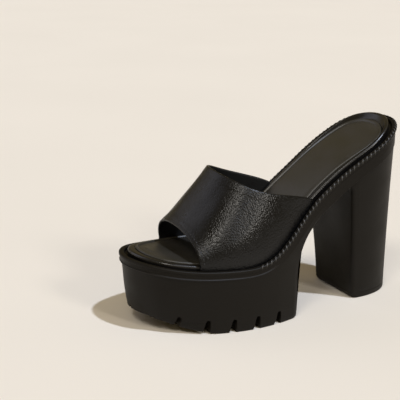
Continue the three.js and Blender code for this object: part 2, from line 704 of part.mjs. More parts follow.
// Where the outer face of the upper stands at a station, on the outer (+1) or inner (-1) side.
function upperFoot(station, side) {
  let low = 0;
  let high = Math.PI;
  for (let i = 0; i < 40; i++) {
    const turn = (low + high) / 2;
    if (outlinePoint(side * turn, UPPER_STANDOFF).y < station) low = turn;
    else high = turn;
  }
  return outlinePoint(side * (low + high) / 2, UPPER_STANDOFF).x;
}

// Foot section at a station: a full arch from side to side, its ridge towards the big toe.
function bandPoint(station, degrees) {
  const outer = upperFoot(station, 1);
  const inner = upperFoot(station, -1);
  const power = 2 / bandFullness.at(station);
  const c = Math.cos(radians(degrees));
  const s = Math.max(0, Math.sin(radians(degrees)));
  const across = Math.sign(c) * Math.abs(c) ** power;
  const x = (outer + inner) / 2 + ((outer - inner) / 2) * across + bandRidge.at(station) * s * s;
  const rise = bandHeight.at(station) * s ** power;
  const leanShare = clamp01((station - BAND_LEAN_FROM) / (BAND_LEAN_TO - BAND_LEAN_FROM));
  const lean = radians(BAND_LEAN_FRONT + (BAND_LEAN_BACK - BAND_LEAN_FRONT) * leanShare);
  return new THREE.Vector3(x, station - rise * Math.sin(lean), seat.at(station) + rise * Math.cos(lean));
}

// The lower edges go straight down beside the footbed.
function tuckPoint(station, side, depth) {
  const pitch = pitchAt(station);
  return new THREE.Vector3(
    upperFoot(station, side), station + depth * Math.sin(pitch), seat.at(station) - depth * Math.cos(pitch));
}

function upper() {
  const across = [];
  for (let i = 0; i <= BAND_COLUMNS; i++) across.push(90 - 90 * Math.cos(radians((180 * i) / BAND_COLUMNS)));
  const grid = [];
  for (let j = 0; j <= BAND_ROWS; j++) {
    const share = j / BAND_ROWS;
    const station = (degrees) => toeEdge.at(degrees) + share * (instepEdge.at(degrees) - toeEdge.at(degrees));
    grid.push([
      tuckPoint(station(0), 1, UPPER_TUCK),
      tuckPoint(station(0), 1, UPPER_TUCK / 2),
      ...across.map((degrees) => bandPoint(station(degrees), degrees)),
      tuckPoint(station(180), -1, UPPER_TUCK / 2),
      tuckPoint(station(180), -1, UPPER_TUCK),
    ]);
  }
  return wallFromGrid(grid, UPPER_WALL);
}

// Gives a grid of outer points a wall of the given thickness on its inner side.
function wallFromGrid(grid, thickness) {
  const rows = grid.length;
  const cols = grid[0].length;
  const normalAt = (j, i) => {
    const along = grid[Math.min(j + 1, rows - 1)][i].clone().sub(grid[Math.max(j - 1, 0)][i]);
    const around = grid[j][Math.min(i + 1, cols - 1)].clone().sub(grid[j][Math.max(i - 1, 0)]);
    return along.cross(around).normalize();
  };
  const inside = grid.map((row, j) =>
    row.map((p, i) => p.clone().addScaledVector(normalAt(j, i), -thickness)));
  const points = [...grid.flat(), ...inside.flat()];
  const shift = rows * cols;
  const faces = [];
  const quad = (a, b, c, d) => faces.push(a, b, c, a, c, d);
  for (let j = 0; j + 1 < rows; j++) {
    for (let i = 0; i + 1 < cols; i++) {
      const a = j * cols + i;
      quad(a, a + cols, a + cols + 1, a + 1);
      quad(shift + a, shift + a + 1, shift + a + cols + 1, shift + a + cols);
    }
  }
  for (let i = 0; i + 1 < cols; i++) {
    const back = (rows - 1) * cols + i;
    quad(i, i + 1, shift + i + 1, shift + i);
    quad(back + 1, back, shift + back, shift + back + 1);
  }
  for (let j = 0; j + 1 < rows; j++) {
    const outerSide = j * cols;
    const innerSide = j * cols + cols - 1;
    quad(outerSide + cols, outerSide, shift + outerSide, shift + outerSide + cols);
    quad(innerSide, innerSide + cols, shift + innerSide + cols, shift + innerSide);
  }
  return geometryOf(points, faces);
}

// ---------------------------------------------------------------- assembly

const moulded = new THREE.MeshStandardMaterial({ color: 0x2a2723, roughness: 0.62, metalness: 0 });
const wrapped = new THREE.MeshStandardMaterial({ color: 0x1d1c1c, roughness: 0.32, metalness: 0 });
const sockCloth = new THREE.MeshStandardMaterial({ color: 0x3b3733, roughness: 0.7, metalness: 0 });
const nappa = new THREE.MeshStandardMaterial({ color: 0x1a1a1c, roughness: 0.4, metalness: 0 });

function namedMesh(name, geometry, material) {
  const mesh = new THREE.Mesh(geometry, material);
  mesh.name = name;
  return mesh;
}

const shoe = new THREE.Group();
shoe.add(namedMesh('sole_unit', soleUnit(), moulded));
shoe.add(namedMesh('footbed', footbed(), wrapped));
shoe.add(namedMesh('sock_lining', sockLining(), sockCloth));
shoe.add(namedMesh('upper_band', upper(), nappa));

// The origin is the middle of the whole shoe's footprint, on the floor.
const box = new THREE.Box3().setFromObject(shoe);
shoe.position.set(-(box.min.x + box.max.x) / 2, -(box.min.y + box.max.y) / 2, 0);

export default shoe;
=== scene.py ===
# %% [markdown]
# # Platform mule, left shoe
# A backless shoe made of four pieces: a moulded sole unit with its block heel, a wrapped
# footbed, a padded sock and one wide vamp band. The CAD parts arrive first as a fixed frame.
# Everything made here is placed in that frame, and nothing in it is moved.

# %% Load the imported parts
import math

import bpy
import bmesh
import numpy as np
from mathutils import Matrix, Vector


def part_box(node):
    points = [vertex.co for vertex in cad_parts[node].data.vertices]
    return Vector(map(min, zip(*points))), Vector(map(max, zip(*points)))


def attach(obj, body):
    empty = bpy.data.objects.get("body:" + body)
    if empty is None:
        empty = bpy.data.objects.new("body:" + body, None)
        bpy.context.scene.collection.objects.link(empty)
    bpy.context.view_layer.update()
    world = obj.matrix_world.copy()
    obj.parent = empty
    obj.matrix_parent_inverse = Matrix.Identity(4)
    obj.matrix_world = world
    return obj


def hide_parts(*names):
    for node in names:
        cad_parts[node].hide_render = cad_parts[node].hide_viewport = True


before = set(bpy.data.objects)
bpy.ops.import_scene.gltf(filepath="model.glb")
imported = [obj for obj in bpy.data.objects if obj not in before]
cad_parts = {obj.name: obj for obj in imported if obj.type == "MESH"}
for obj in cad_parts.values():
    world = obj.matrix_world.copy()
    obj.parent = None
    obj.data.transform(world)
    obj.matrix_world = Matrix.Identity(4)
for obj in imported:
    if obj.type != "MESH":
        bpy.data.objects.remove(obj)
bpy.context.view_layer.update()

# %% [markdown]
# ## The shoe's sizes
# A shoe is drawn on its last: an outline of the footbed, and the height of its top edge over
# the floor. Stations are counted from the toe tip along the floor, in millimetres. The tables
# below are those of the CAD parts, because the fine surfaces have to lie exactly on them.

# %% Last outline and seat line
FOOTBED_LENGTH = 209.0
OUTLINE = np.array([
    # station, outer edge, inner edge
    (0, -7, -7), (2.5, 6, -18), (8, 16.2, -24.8), (16, 23.9, -30.2), (28, 30.5, -35.8),
    (42, 35.7, -39.2), (58, 39.7, -39.7), (74, 41.2, -38), (90, 39.6, -34.8), (104, 36, -31.1),
    (118, 31.8, -27.7), (134, 29.5, -26.3), (152, 29.7, -27.2), (170, 31.5, -28.8),
    (184, 31.1, -28.3), (194.6, 26.6, -24.8), (202.8, 17.5, -17.5), (209, -0.6, -0.6),
])
SEAT = np.array([
    # station, height of the footbed's top edge
    (-8, 53.9), (0, 53.8), (20, 51.2), (40, 49.4), (60, 49.0), (70, 49.1), (80, 50.6),
    (90, 55.0), (100, 62.3), (110, 71.3), (120, 80.6), (130, 89.2), (140, 96.8),
    (155, 107.6), (170, 117.2), (185, 126.0), (200, 134.0), (208, 136.9), (218, 138.6),
])
WAIST = np.array([
    # station, depth of the waist's lower edge under the footbed's top edge
    (113, 22.4), (127, 20.6), (143, 18.6), (160, 16.8), (178, 16.5), (196, 16.4), (218, 16.2),
])


# %% Curves through the tables
def natural_spline(xs, ys):
    """Cubic between each two rows; slope and bend agree at the rows, and the ends have no bend."""
    xs, ys = np.asarray(xs, float), np.asarray(ys, float)
    span = np.diff(xs)
    inner = np.arange(1, len(xs) - 1)
    system = np.eye(len(xs))
    system[inner, inner - 1] = span[:-1]
    system[inner, inner] = 2 * (span[:-1] + span[1:])
    system[inner, inner + 1] = span[1:]
    right = np.zeros(len(xs))
    right[inner] = 6 * np.diff(np.diff(ys) / span)
    bend = np.linalg.solve(system, right)

    def at(x):
        """Height at x: the straight mix of a span's two rows, plus their bend."""
        x = np.asarray(x, float)
        i = np.clip(np.searchsorted(xs, x) - 1, 0, len(xs) - 2)
        a = (xs[i + 1] - x) / span[i]
        b = 1 - a
        cubic = (a**3 - a) * bend[i] + (b**3 - b) * bend[i + 1]
        return a * ys[i] + b * ys[i + 1] + cubic * span[i] ** 2 / 6

    return at


def splines(table):
    """One spline over a table's first column for each of its other columns."""
    return [natural_spline(table[:, 0], column) for column in table.T[1:]]


def slope_of(curve, step=0.01):
    """Rise over run of a curve, from two points a step either side."""
    return lambda x: (curve(np.asarray(x) + step) - curve(np.asarray(x) - step)) / (2 * step)


def smooth_step(x):
    """0 below 0, 1 above 1, and 3x^2 - 2x^3 between."""
    x = np.clip(x, 0, 1)
    return x * x * (3 - 2 * x)


def unit(vectors):
    """Vectors of length one."""
    return vectors / np.linalg.norm(vectors, axis=-1, keepdims=True)


(seat,), (waist,) = splines(SEAT), splines(WAIST)
print("seat height at toe, ball, heel:", [round(float(seat(s)), 1) for s in (0, 62, 205)])


# %% [markdown]
# ## One closed outline
# The outline is a single closed curve over a turn: 0 at the toe tip, pi at the heel back, and
# negative turns on the inner side. Stations are half-cosine spaced in it, which makes both
# ends come out round instead of pointed.

# %% Closed outline and points set off from it
SQUARE_END = 165.0       # offsets are square to the seat up to here
SQUARE_FADE = 38.0       # and have turned plumb this much further back


def turn_of(station):
    """Turn of a station: arc cosine of 1 - 2 station / length."""
    return np.arccos(1 - 2 * np.asarray(station) / FOOTBED_LENGTH)


def station_at(turn):
    """Station of a turn: half the length times 1 - cosine."""
    return FOOTBED_LENGTH / 2 * (1 - np.cos(turn))


def both_sides(side):
    """Turns of one side, then of the other side back to the start."""
    return np.concatenate([side, -side[1:-1][::-1]])


def round_heel(start, count):
    """Turns from a start on the outer side, round the heel, to the same place on the inner."""
    turns = np.linspace(start, 2 * np.pi - start, count)
    return np.where(turns > np.pi, turns - 2 * np.pi, turns)


def closed_outline():
    """Spline of the side distance over three laps of the turn, so that the lap's ends agree."""
    turns = turn_of(OUTLINE[:, 0])
    lap = np.concatenate([-turns[1:-1][::-1], turns])
    sides = np.concatenate([OUTLINE[1:-1, 2][::-1], OUTLINE[:, 1]])
    knots = np.concatenate([lap - 2 * np.pi, lap, lap + 2 * np.pi])
    return natural_spline(knots, np.tile(sides, 3))


outline = closed_outline()
outline_slope = slope_of(outline)
seat_slope = slope_of(seat)


def pitch(station):
    """Angle of offsets from the seat: its own pitch, turning plumb round the heel."""
    fade = 1 - smooth_step((np.asarray(station) - SQUARE_END) / SQUARE_FADE)
    return np.arctan(seat_slope(station)) * fade


def outline_point(turn, out=0.0):
    """Point of the outline moved outwards in plan, along the outline's own normal."""
    dx = outline_slope(turn)
    dy = FOOTBED_LENGTH / 2 * np.sin(turn)
    length = np.hypot(dx, dy)
    x = outline(turn) + dy / length * out
    y = station_at(turn) - dx / length * out
    return x, y


def seat_point(turn, out, depth):
    """Outline point, then `depth` under the seat line, square to it. Shape: turns, 3."""
    x, y = outline_point(turn, out)
    angle = pitch(y)
    return np.stack([x, y + depth * np.sin(angle), seat(y) - depth * np.cos(angle)], -1)


# %% [markdown]
# ## From millimetres on the last to metres in the frame
# The frame's origin is the middle of the whole shoe. The sole's rim is its widest part all
# round, so the middle of the rim's outline and the middle of the CAD sole's box are one point.

# %% Place of the last in the frame, and mesh helpers
MM = 0.001
RIM_OUTSIDE = 6.42   # rim's outer face, outside the footbed
RIM_SIDE_TOP = 4.2   # middle of the rim's upright face, under the footbed's top
WELD = 0.004         # points closer than this are one point

all_round = np.linspace(-np.pi, np.pi, 2000)
rim_loop = seat_point(all_round, RIM_OUTSIDE, RIM_SIDE_TOP)
sole_low, sole_high = (np.array(corner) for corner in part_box("sole_unit"))
last_middle = (rim_loop.min(0) + rim_loop.max(0)) / 2
last_to_frame = (sole_low + sole_high) / 2 - last_middle * MM
last_to_frame[2] = 0
print("toe tip of the last in the frame, mm:", np.round(last_to_frame / MM, 2))


def grid_faces(rows, cols, wrap_rows=False, wrap_cols=False):
    """Quads between neighbouring points of a rows x cols grid, closed where it wraps."""
    index = np.arange(rows * cols).reshape(rows, cols)
    if wrap_rows:
        index = np.vstack([index, index[:1]])
    if wrap_cols:
        index = np.hstack([index, index[:, :1]])
    corners = [index[:-1, :-1], index[:-1, 1:], index[1:, 1:], index[1:, :-1]]
    return np.stack(corners, -1).reshape(-1, 4)


def joined(patches):
    """Joins (points, faces) patches into one: the faces count on from patch to patch."""
    points = [p.reshape(-1, 3) for p, _ in patches]
    starts = np.concatenate([[0], np.cumsum([len(p) for p in points])[:-1]])
    return np.concatenate(points), np.concatenate([f + s for (_, f), s in zip(patches, starts)])


def capped(skin, *caps, wrap_caps=False):
    """A skin that wraps round its columns, joined with the patches that close its ends."""
    parts = [(skin, grid_faces(*skin.shape[:2], wrap_cols=True))]
    parts += [(cap, grid_faces(*cap.shape[:2], wrap_cols=wrap_caps)) for cap in caps]
    return joined(parts)


def shade(mesh, sharp):
    """Smooth faces, with edges kept sharp where they turn by more than `sharp` degrees."""
    mesh.polygons.foreach_set("use_smooth", np.ones(len(mesh.polygons), bool))
    mesh.set_sharp_from_angle(angle=math.radians(sharp))


def new_object(name, data):
    """A new object in the scene's collection."""
    made = bpy.data.objects.new(name, data)
    bpy.context.scene.collection.objects.link(made)
    return made


def mesh_piece(name, points, faces, sharp=40.0):
    """Puts last points and quads into a mesh in the frame: doubles welded, faces outward."""
    mesh = bpy.data.meshes.new(name)
    placed = points.reshape(-1, 3) * MM + last_to_frame
    mesh.vertices.add(len(placed))
    mesh.vertices.foreach_set("co", placed.astype(np.float32).ravel())
    mesh.loops.add(faces.size)
    mesh.loops.foreach_set("vertex_index", faces.astype(np.int32).ravel())
    mesh.polygons.add(len(faces))
    mesh.polygons.foreach_set("loop_start", np.arange(0, faces.size, 4, dtype=np.int32))
    mesh.update(calc_edges=True)
    work = bmesh.new()
    work.from_mesh(mesh)
    bmesh.ops.remove_doubles(work, verts=work.verts, dist=WELD * MM)
    bmesh.ops.dissolve_degenerate(work, edges=work.edges, dist=WELD * MM / 10)
    bmesh.ops.recalc_face_normals(work, faces=work.faces)
    work.to_mesh(mesh)
    work.free()
    mesh.validate()
    shade(mesh, sharp)
    return new_object(name, mesh)


def report(piece):
    """Prints a piece's size, face count and volume, and how many of its edges are open."""
    work = bmesh.new()
    work.from_mesh(piece.data)
    loose = sum(not edge.is_manifold for edge in work.edges)
    volume = work.calc_volume() * 1e6
    work.free()
    size = [round(side / MM, 1) for side in piece.dimensions]
    print(f"{piece.name}: {size} mm, {len(piece.data.polygons)} faces, "
          f"{loose} open edges, {volume:.1f} cm3")


# %% [markdown]
# ## Sole unit: the columns
# A platform like this is foamed in one mould, so its wall, rim, lugs, waist and heel are one
# skin. It could be cut from blocks with booleans, but then its soft lips and the fine ridge
# would be hard to round. Here the wall is a grid instead: columns stand round the outline,
# and rows climb from the tread to the rim. Columns are packed closely where a notch between
# two lugs needs crisp sides.

# %% Column turns
RIM_FOOT = 5.2           # where the rim steps in to the side wall
TOE_LIFT = 10.3          # toe spring: the tread's front edge over the floor
TOE_LIFT_END = 46.0      # where the tread first meets the floor
TOE_LIFT_POWER = 1.3     # over 1, so the tread runs into the floor without a corner
PLATFORM_BACK = 113.0    # upright rear wall of the platform
PLATFORM_CORNER = 2.6    # rounding of that wall and of the arch's edges
ARCH_START = 33.0        # height where the rear wall runs into the arch
ARCH_RADIUS = 45.2
ARCH_END = 127.0         # station where the arch has run into the waist line
LUG_FIRST = 20.2         # station of the first notch between lugs
LUG_PITCH = 18.3
LUG_COUNT = 5
notch_stations = LUG_FIRST + LUG_PITCH * np.arange(LUG_COUNT)

TOE_COLUMNS = 25         # between the toe tip and the first notch
TOE_SPACING = 0.8        # power under 1: the columns stand wider at the tip
NOTCH_HALF = 3.6         # half of the stretch with close columns round a notch
NOTCH_STEP = 0.2         # between those columns
LUG_STEP = 1.5           # between the columns on a lug's face
LUG_CLEAR = (1.2, 0.5)   # from the close columns to a lug's first, and past its last
CORNER_CLEAR = 0.8       # from the last lug column to the platform's rear corner
CORNER_TURNS = np.radians([0, 15, 30, 45, 60, 72, 82, 89])
ARCH_TURNS = np.radians(np.arange(1.0, 46, 2.5))
WAIST_STEP = 2.2
WAIST_COLUMNS_END = 188.0
HEEL_COLUMNS = 30

side_turns = np.linspace(0, np.pi, 4000)
side_stations = station_at(side_turns)
stand_table = side_stations + RIM_FOOT * np.sin(pitch(side_stations))


def turn_under(y):
    """Turn at which the rim's foot stands over y, read back from a fine table."""
    return np.interp(y, stand_table, side_turns)


def column_turns():
    """Turns of one side from toe to heel, and whether each column stands behind the platform."""
    spread_out = np.linspace(0, 1, TOE_COLUMNS + 1)[:-1] ** TOE_SPACING
    toe = spread_out * turn_under(notch_stations[0] - NOTCH_HALF)
    close = np.arange(-NOTCH_HALF, NOTCH_HALF + NOTCH_STEP / 2, NOTCH_STEP)
    face = np.arange(NOTCH_HALF + LUG_CLEAR[0], LUG_PITCH - NOTCH_HALF - LUG_CLEAR[1], LUG_STEP)
    lugs = (np.concatenate([close, face]) + notch_stations[:, None]).ravel()
    lugs = lugs[lugs < PLATFORM_BACK - PLATFORM_CORNER - CORNER_CLEAR]
    corner = PLATFORM_BACK - PLATFORM_CORNER * np.cos(CORNER_TURNS)
    arch = PLATFORM_BACK + ARCH_RADIUS * (1 - np.cos(ARCH_TURNS))
    waist_ys = np.arange(arch[-1] + LUG_STEP, WAIST_COLUMNS_END, WAIST_STEP)
    heel_from = turn_under(waist_ys[-1])
    heel = heel_from + (np.pi - heel_from) * np.arange(1, HEEL_COLUMNS + 1) / HEEL_COLUMNS
    front = np.concatenate([toe, turn_under(lugs), turn_under(corner)])
    back = np.concatenate([turn_under(arch), turn_under(waist_ys), heel])
    backs = np.concatenate([np.zeros(len(front), bool), np.ones(len(back), bool)])
    return np.concatenate([front, back]), backs


side_columns, side_backs = column_turns()
wall_turns = both_sides(side_columns)
wall_backs = np.concatenate([side_backs, side_backs[1:-1][::-1]])
print("columns round the sole:", len(wall_turns))


# %% [markdown]
# ## Sole unit: the rows
# From the floor up: the lug faces lean in, a crease runs over them, the wall climbs to a fine
# moulded ridge, and the rim stands proud above it. Near the toe the wall leans out more, so
# each row has an inset for the sides and one for the toe.

# %% Wall rows
TREAD_HEIGHT = 9.5       # of the lugs
LUG_LAYER_MIN = 1.0      # thinnest lug layer, under the toe
TOE_BLEND_END = 48.0     # station where the toe's insets have become the sides'
WAIST_BAND = 2.8         # height of the rows that round the waist's lower edge
FLANGE_CORNER = 0.2      # rounding of the lower edge once the waist is the heel's flange
CORNER_SHRINK = (130.0, 20.0)   # where the rounding shrinks, and over what run
WALL_INSET = np.array([
    # share from crease to rim, side inset, toe inset
    (0.0, 1.35, 5.6), (0.2, 1.35, 4.4), (0.5, 1.3, 3.1), (0.86, 0.9, 1.9), (1.0, 0.8, 1.0),
])
LUG_INSET = np.array([
    # share from tread to crease, side inset, toe inset
    (0.0, 2.5, 8.5), (0.04, 2.0, 8.0), (0.1, 1.7, 7.8), (0.3, 1.5, 7.4), (0.94, 1.45, 6.8),
    (1.0, 1.35, 5.6),
])
CREASE_DIP = 0.14        # the crease over the lugs is pressed in a little
CREASE_HALF = 0.5        # half height of that dip


def underside(y, back):
    """Height of the sole's underside: toe spring, tread, rounded rear foot, arch, then waist."""
    spring = TOE_LIFT * (1 - np.clip(y / TOE_LIFT_END, 0, 1)) ** TOE_LIFT_POWER
    run = np.clip(y - (PLATFORM_BACK - PLATFORM_CORNER), 0, PLATFORM_CORNER)
    foot = PLATFORM_CORNER - np.sqrt(PLATFORM_CORNER**2 - run**2)
    across = np.clip(PLATFORM_BACK + ARCH_RADIUS - y, 0, ARCH_RADIUS)
    arch = ARCH_START + np.sqrt(ARCH_RADIUS**2 - across**2)
    return np.where(back, np.where(y > ARCH_END, seat(y) - waist(y), arch), spring + foot)


def edge_rounding(y, z):
    """Inset that rounds the rear wall, the arch and the waist's edge: a quarter circle."""
    shrink = smooth_step((y - CORNER_SHRINK[0]) / CORNER_SHRINK[1])
    radius = PLATFORM_CORNER + (FLANGE_CORNER - PLATFORM_CORNER) * shrink
    from_arch = np.hypot(PLATFORM_BACK + ARCH_RADIUS - y, z - ARCH_START) - ARCH_RADIUS
    from_wall = np.where(z < ARCH_START, PLATFORM_BACK - y, from_arch)
    from_waist = (z - wall_base) * np.cos(np.arctan(seat_slope(y)))
    distance = np.where(y > ARCH_END, from_waist, from_wall)
    run = np.clip(1 - distance / radius, 0, 1)
    return radius * (1 - np.sqrt(1 - run**2))


rim_foot_out = RIM_OUTSIDE - WALL_INSET[-1, 1]
wall_top = seat_point(wall_turns, rim_foot_out, RIM_FOOT)
wall_base = underside(wall_top[:, 1], wall_backs)
wall_lean = wall_top[:, 1] - outline_point(wall_turns, rim_foot_out)[1]
toe_share = np.where(wall_backs, 0, 1 - smooth_step(wall_top[:, 1] / TOE_BLEND_END))
front_crease = np.maximum(TREAD_HEIGHT, underside(wall_top[:, 1], False) + LUG_LAYER_MIN)
crease = np.where(wall_backs, wall_base + WAIST_BAND, front_crease)
side_curve, toe_curve = splines(WALL_INSET)


def wall_inset(z):
    """Inset at heights z over the crease: a mix of the side curve and the toe curve."""
    share = np.clip((z - front_crease) / (wall_top[:, 2] - front_crease), 0, 1)
    return side_curve(share) + (toe_curve(share) - side_curve(share)) * toe_share


def wall_row(z, inset):
    """Row of the wall at heights z: the outline set in, and rounded towards the rear edges."""
    x, y = outline_point(wall_turns, RIM_OUTSIDE - inset - edge_rounding(wall_top[:, 1], z))
    return np.stack([x, y + wall_lean, z], -1)


def lug_rows(shares):
    """Rows from the underside to the crease: z rises evenly with the share."""
    rows = []
    for share in shares:
        z = wall_base + share * (crease - wall_base)
        side, toe = (np.interp(share, LUG_INSET[:, 0], inset) for inset in LUG_INSET.T[1:])
        lug_inset = side + (toe - side) * toe_share
        rows.append(wall_row(z, np.where(wall_backs, wall_inset(z), lug_inset)))
    return rows


def upper_wall_rows(shares):
    """Rows from the crease to under the rim's ridge, with a shallow dip right over the crease."""
    rows = []
    for share in shares:
        z = crease + share * (wall_top[:, 2] - crease)
        dip = CREASE_DIP * np.exp(-(((z - crease) / CREASE_HALF) ** 2))
        rows.append(wall_row(z, wall_inset(z) + np.where(wall_backs, 0, dip)))
    return rows


# %% [markdown]
# ## Sole unit: ridge, rim and gutter
# The rim is a lip all round the footbed. Between rim and footbed runs a narrow gutter, which
# reads as the black line round the shoe, so it has to be a real gap and not a painted line.

# %% Rim rows
RIM_DROP = 2.7           # the rim's top, under the footbed's
RIDGE_DEPTH = 8.6        # the ridge's middle, under the footbed's top
RIDGE_OUT = 5.54         # wall behind the ridge, outside the footbed
RIDGE_PROUD = 0.62
RIDGE_HALF = 0.42        # half height of the ridge
RIDGE_REACH = 1.1        # its rows run this far up and down
RIDGE_FADE = (78.0, 18.0)   # station where it starts to fade, and over what run
FOOTBED_THICKNESS = 5.0
ridge_fade = 1 - smooth_step((wall_top[:, 1] - RIDGE_FADE[0]) / RIDGE_FADE[1])
RIM_PROFILE = np.array([
    # out from the footbed, depth under its top: up the outer face, over the lip, down inside
    (5.62, 5.20), (5.80, 5.12), (6.20, 5.02), (6.38, 4.85), (6.42, 4.60), (6.42, 4.10),
    (6.40, 3.60), (6.30, 3.25), (6.10, 2.98), (5.80, 2.80), (5.35, 2.71), (4.80, 2.70),
    (4.10, 2.70), (3.50, 2.72), (3.10, 2.78), (2.85, 2.92), (2.70, 3.15), (2.64, 3.50),
    (2.62, 4.20), (2.62, 5.30),
])


def ridge_rows():
    """A half-round bead on the wall, a bell curve in section; it fades out before the waist."""
    rows = []
    for drop in np.linspace(RIDGE_REACH, -RIDGE_REACH, 11):
        bump = RIDGE_PROUD * np.exp(-((drop / RIDGE_HALF) ** 2)) * ridge_fade
        rows.append(seat_point(wall_turns, RIDGE_OUT + bump, RIDGE_DEPTH + drop))
    return rows


def rim_rows():
    """The rim's profile carried round the outline, square to the seat."""
    return [seat_point(wall_turns, out, depth) for out, depth in RIM_PROFILE]


# %% [markdown]
# ## Notches between the lugs
# A notch is a slot that runs in from the side and narrows upwards to a round roof. Instead of
# cutting it, every wall point inside the slot's outline moves in to the slot's back plane. A
# lip half a millimetre wide blends the two, as a moulded edge is never sharp.

# %% Notch mask and tread
LUG_WIDTH_FLOOR = 4.8
LUG_WIDTH_TOP = 2.4
LUG_LEAN = 1.2           # a notch's roof stands this much further back than its mouth
LUG_REACH = 12.0
NOTCH_LIP = 0.5
ROOF_ROUND = 2.0         # height over which a notch's roof is rounded
ROOF_FOLLOWS = 0.57      # share of the toe spring by which a notch's roof is raised
GROOVE_DEPTH = 3.0       # shallow grooves carry the notches on across the tread
BAR_EASE = 0.3           # share of a cap's bars that crowds towards its two sides


def notch_roof(station):
    """A notch's roof stands higher where the toe spring lifts the tread."""
    return TREAD_HEIGHT + ROOF_FOLLOWS * float(underside(station, False))


def slot_half(z, roof):
    """Half width of a notch: it narrows evenly from the floor to its roof."""
    return (LUG_WIDTH_FLOOR + (LUG_WIDTH_TOP - LUG_WIDTH_FLOOR) * np.clip(z / roof, 0, 1)) / 2


def slot_mask(offset, z, roof):
    """1 inside a leaning slot with a round roof (a superellipse of power 3), 0 outside."""
    offset = offset - LUG_LEAN * (np.clip(z / roof, 0, 1) - 0.5)
    half = slot_half(z, roof)
    rise = np.clip((z - (roof - ROOF_ROUND)) / ROOF_ROUND, 0, 2)
    ratio = (np.abs(offset / half) ** 3 + rise**3) ** (1 / 3)
    return smooth_step(0.5 + (1 - ratio) * half / NOTCH_LIP)


def cut_notches(points):
    """Moves wall points inside each slot to the slot's back plane, and up to the groove's roof."""
    cut = points.copy()
    for side in (1, -1):
        for station in notch_stations:
            edge_x = outline_point(side * turn_of(station), RIM_OUTSIDE)[0]
            plane = edge_x - side * LUG_REACH
            near = (np.sign(wall_turns) == side) & ~wall_backs
            mask = slot_mask(points[..., 1] - station, points[..., 2], notch_roof(station)) * near
            cut[..., 0] += mask * (plane - points[..., 0])
            cut[..., 1] += mask * (points[0, :, 1] - points[..., 1])
            cut[..., 2] += mask * np.clip(GROOVE_DEPTH - points[..., 2], 0, None)
    return cut


def groove_depth(y):
    """Depth of the cross grooves at y: GROOVE_DEPTH inside a notch's width, soft at its lips."""
    return sum(GROOVE_DEPTH * slot_mask(y - station, np.zeros_like(y), TREAD_HEIGHT)
               for station in notch_stations)


def bottom_patch(ring, bars):
    """Cap for a closed ring of points: straight bars from its outer to its inner side."""
    half = len(ring) // 2
    outer = ring[: half + 1]
    inner = np.concatenate([ring[:1], ring[half:][::-1]])
    even = np.linspace(0, 1, bars)[:, None, None]
    share = smooth_step(even) * BAR_EASE + (1 - BAR_EASE) * even
    return outer + (inner - outer) * share


# %% Build the platform and waist skin
lug_shares = np.concatenate([[0, 0.02, 0.05, 0.09, 0.14, 0.2], np.linspace(0.3, 0.7, 5),
                             np.linspace(0.76, 1.0, 10)])
wall_shares = np.concatenate([[0.01, 0.025, 0.045, 0.07, 0.1], np.linspace(0.14, 0.9, 12)])
rows = lug_rows(lug_shares) + upper_wall_rows(wall_shares) + ridge_rows() + rim_rows()
skin = cut_notches(np.stack(rows))
bottom = bottom_patch(skin[0], 40)
tread_zone = bottom[..., 1] < PLATFORM_BACK - PLATFORM_CORNER
bottom[..., 2] = np.maximum(bottom[..., 2], groove_depth(bottom[..., 1]) * tread_zone)
half_round = bottom.shape[1]
bottom[0] = skin[0][:half_round]
bottom[-1] = np.concatenate([skin[0][:1], skin[0][half_round - 1:][::-1]])
lid = bottom_patch(skin[-1], 3)
platform = mesh_piece("sole_platform", *capped(skin, bottom, lid))
report(platform)

# %% [markdown]
# ## Block heel
# The heel is a tall loop: straight sides and a flat breast at the floor, and the rim's own
# outline under the seat. Between the two it widens late, as most block heels do. A loft with
# a power curve says that in one line, where stacked extrusions would need many.

# %% Heel loops
BREAST_FLOOR = 170.1     # station of the heel's front face at the floor
BREAST_TOP = 159.7       # and under the seat
BREAST_FILLET = 6.0
HEEL_BACK_FLOOR = 214.6
HEEL_OUTER_FLOOR = 26.2
HEEL_INNER_FLOOR = -25.3
HEEL_STRAIGHT = 7.0      # straight run of the sides behind the breast
HEEL_CORNER = 3.5
CORNER_REACH = 1.4       # a corner replaces the loop this many corners to either side
HEEL_FLARE_POWER = 1.45
HEEL_TOP_INSET = 1.15
HEEL_TOP_DEPTH = 11.5    # the heel's top ends inside the seat flange
HEEL_TOP_AHEAD = 0.9     # the rim is followed from this share of the breast's turn
HEEL_BEVEL = (0.9, 0.008)   # bevel at the floor, and the level where it ends
BREAST_FOOT_RISE = 5.0   # the breast's foot is rounded back this high
BREAST_FOOT_RUN = 2.6
FILLET_NARROWING = 0.006 # per mm that the fillet runs forward, as the waist narrows there
TOP_LIFT = (4.6, 0.28, 0.3)  # line over the heel's top lift: height, depth, half width


def reach_along(points):
    """Distance along lines of points from their first one; the first axis runs along them."""
    steps = np.linalg.norm(np.diff(points, axis=0), axis=-1)
    return np.concatenate([np.zeros((1, *steps.shape[1:])), np.cumsum(steps, 0)])


def picked(values, reach, at):
    """Values along a line, read at the distances `at`."""
    return np.stack([np.interp(at, reach, column) for column in values.T], -1)


def evenly(points, count):
    """Points evenly spaced along a polyline, by its arc length."""
    reach = reach_along(points)
    return picked(points, reach, np.linspace(0, reach[-1], count))


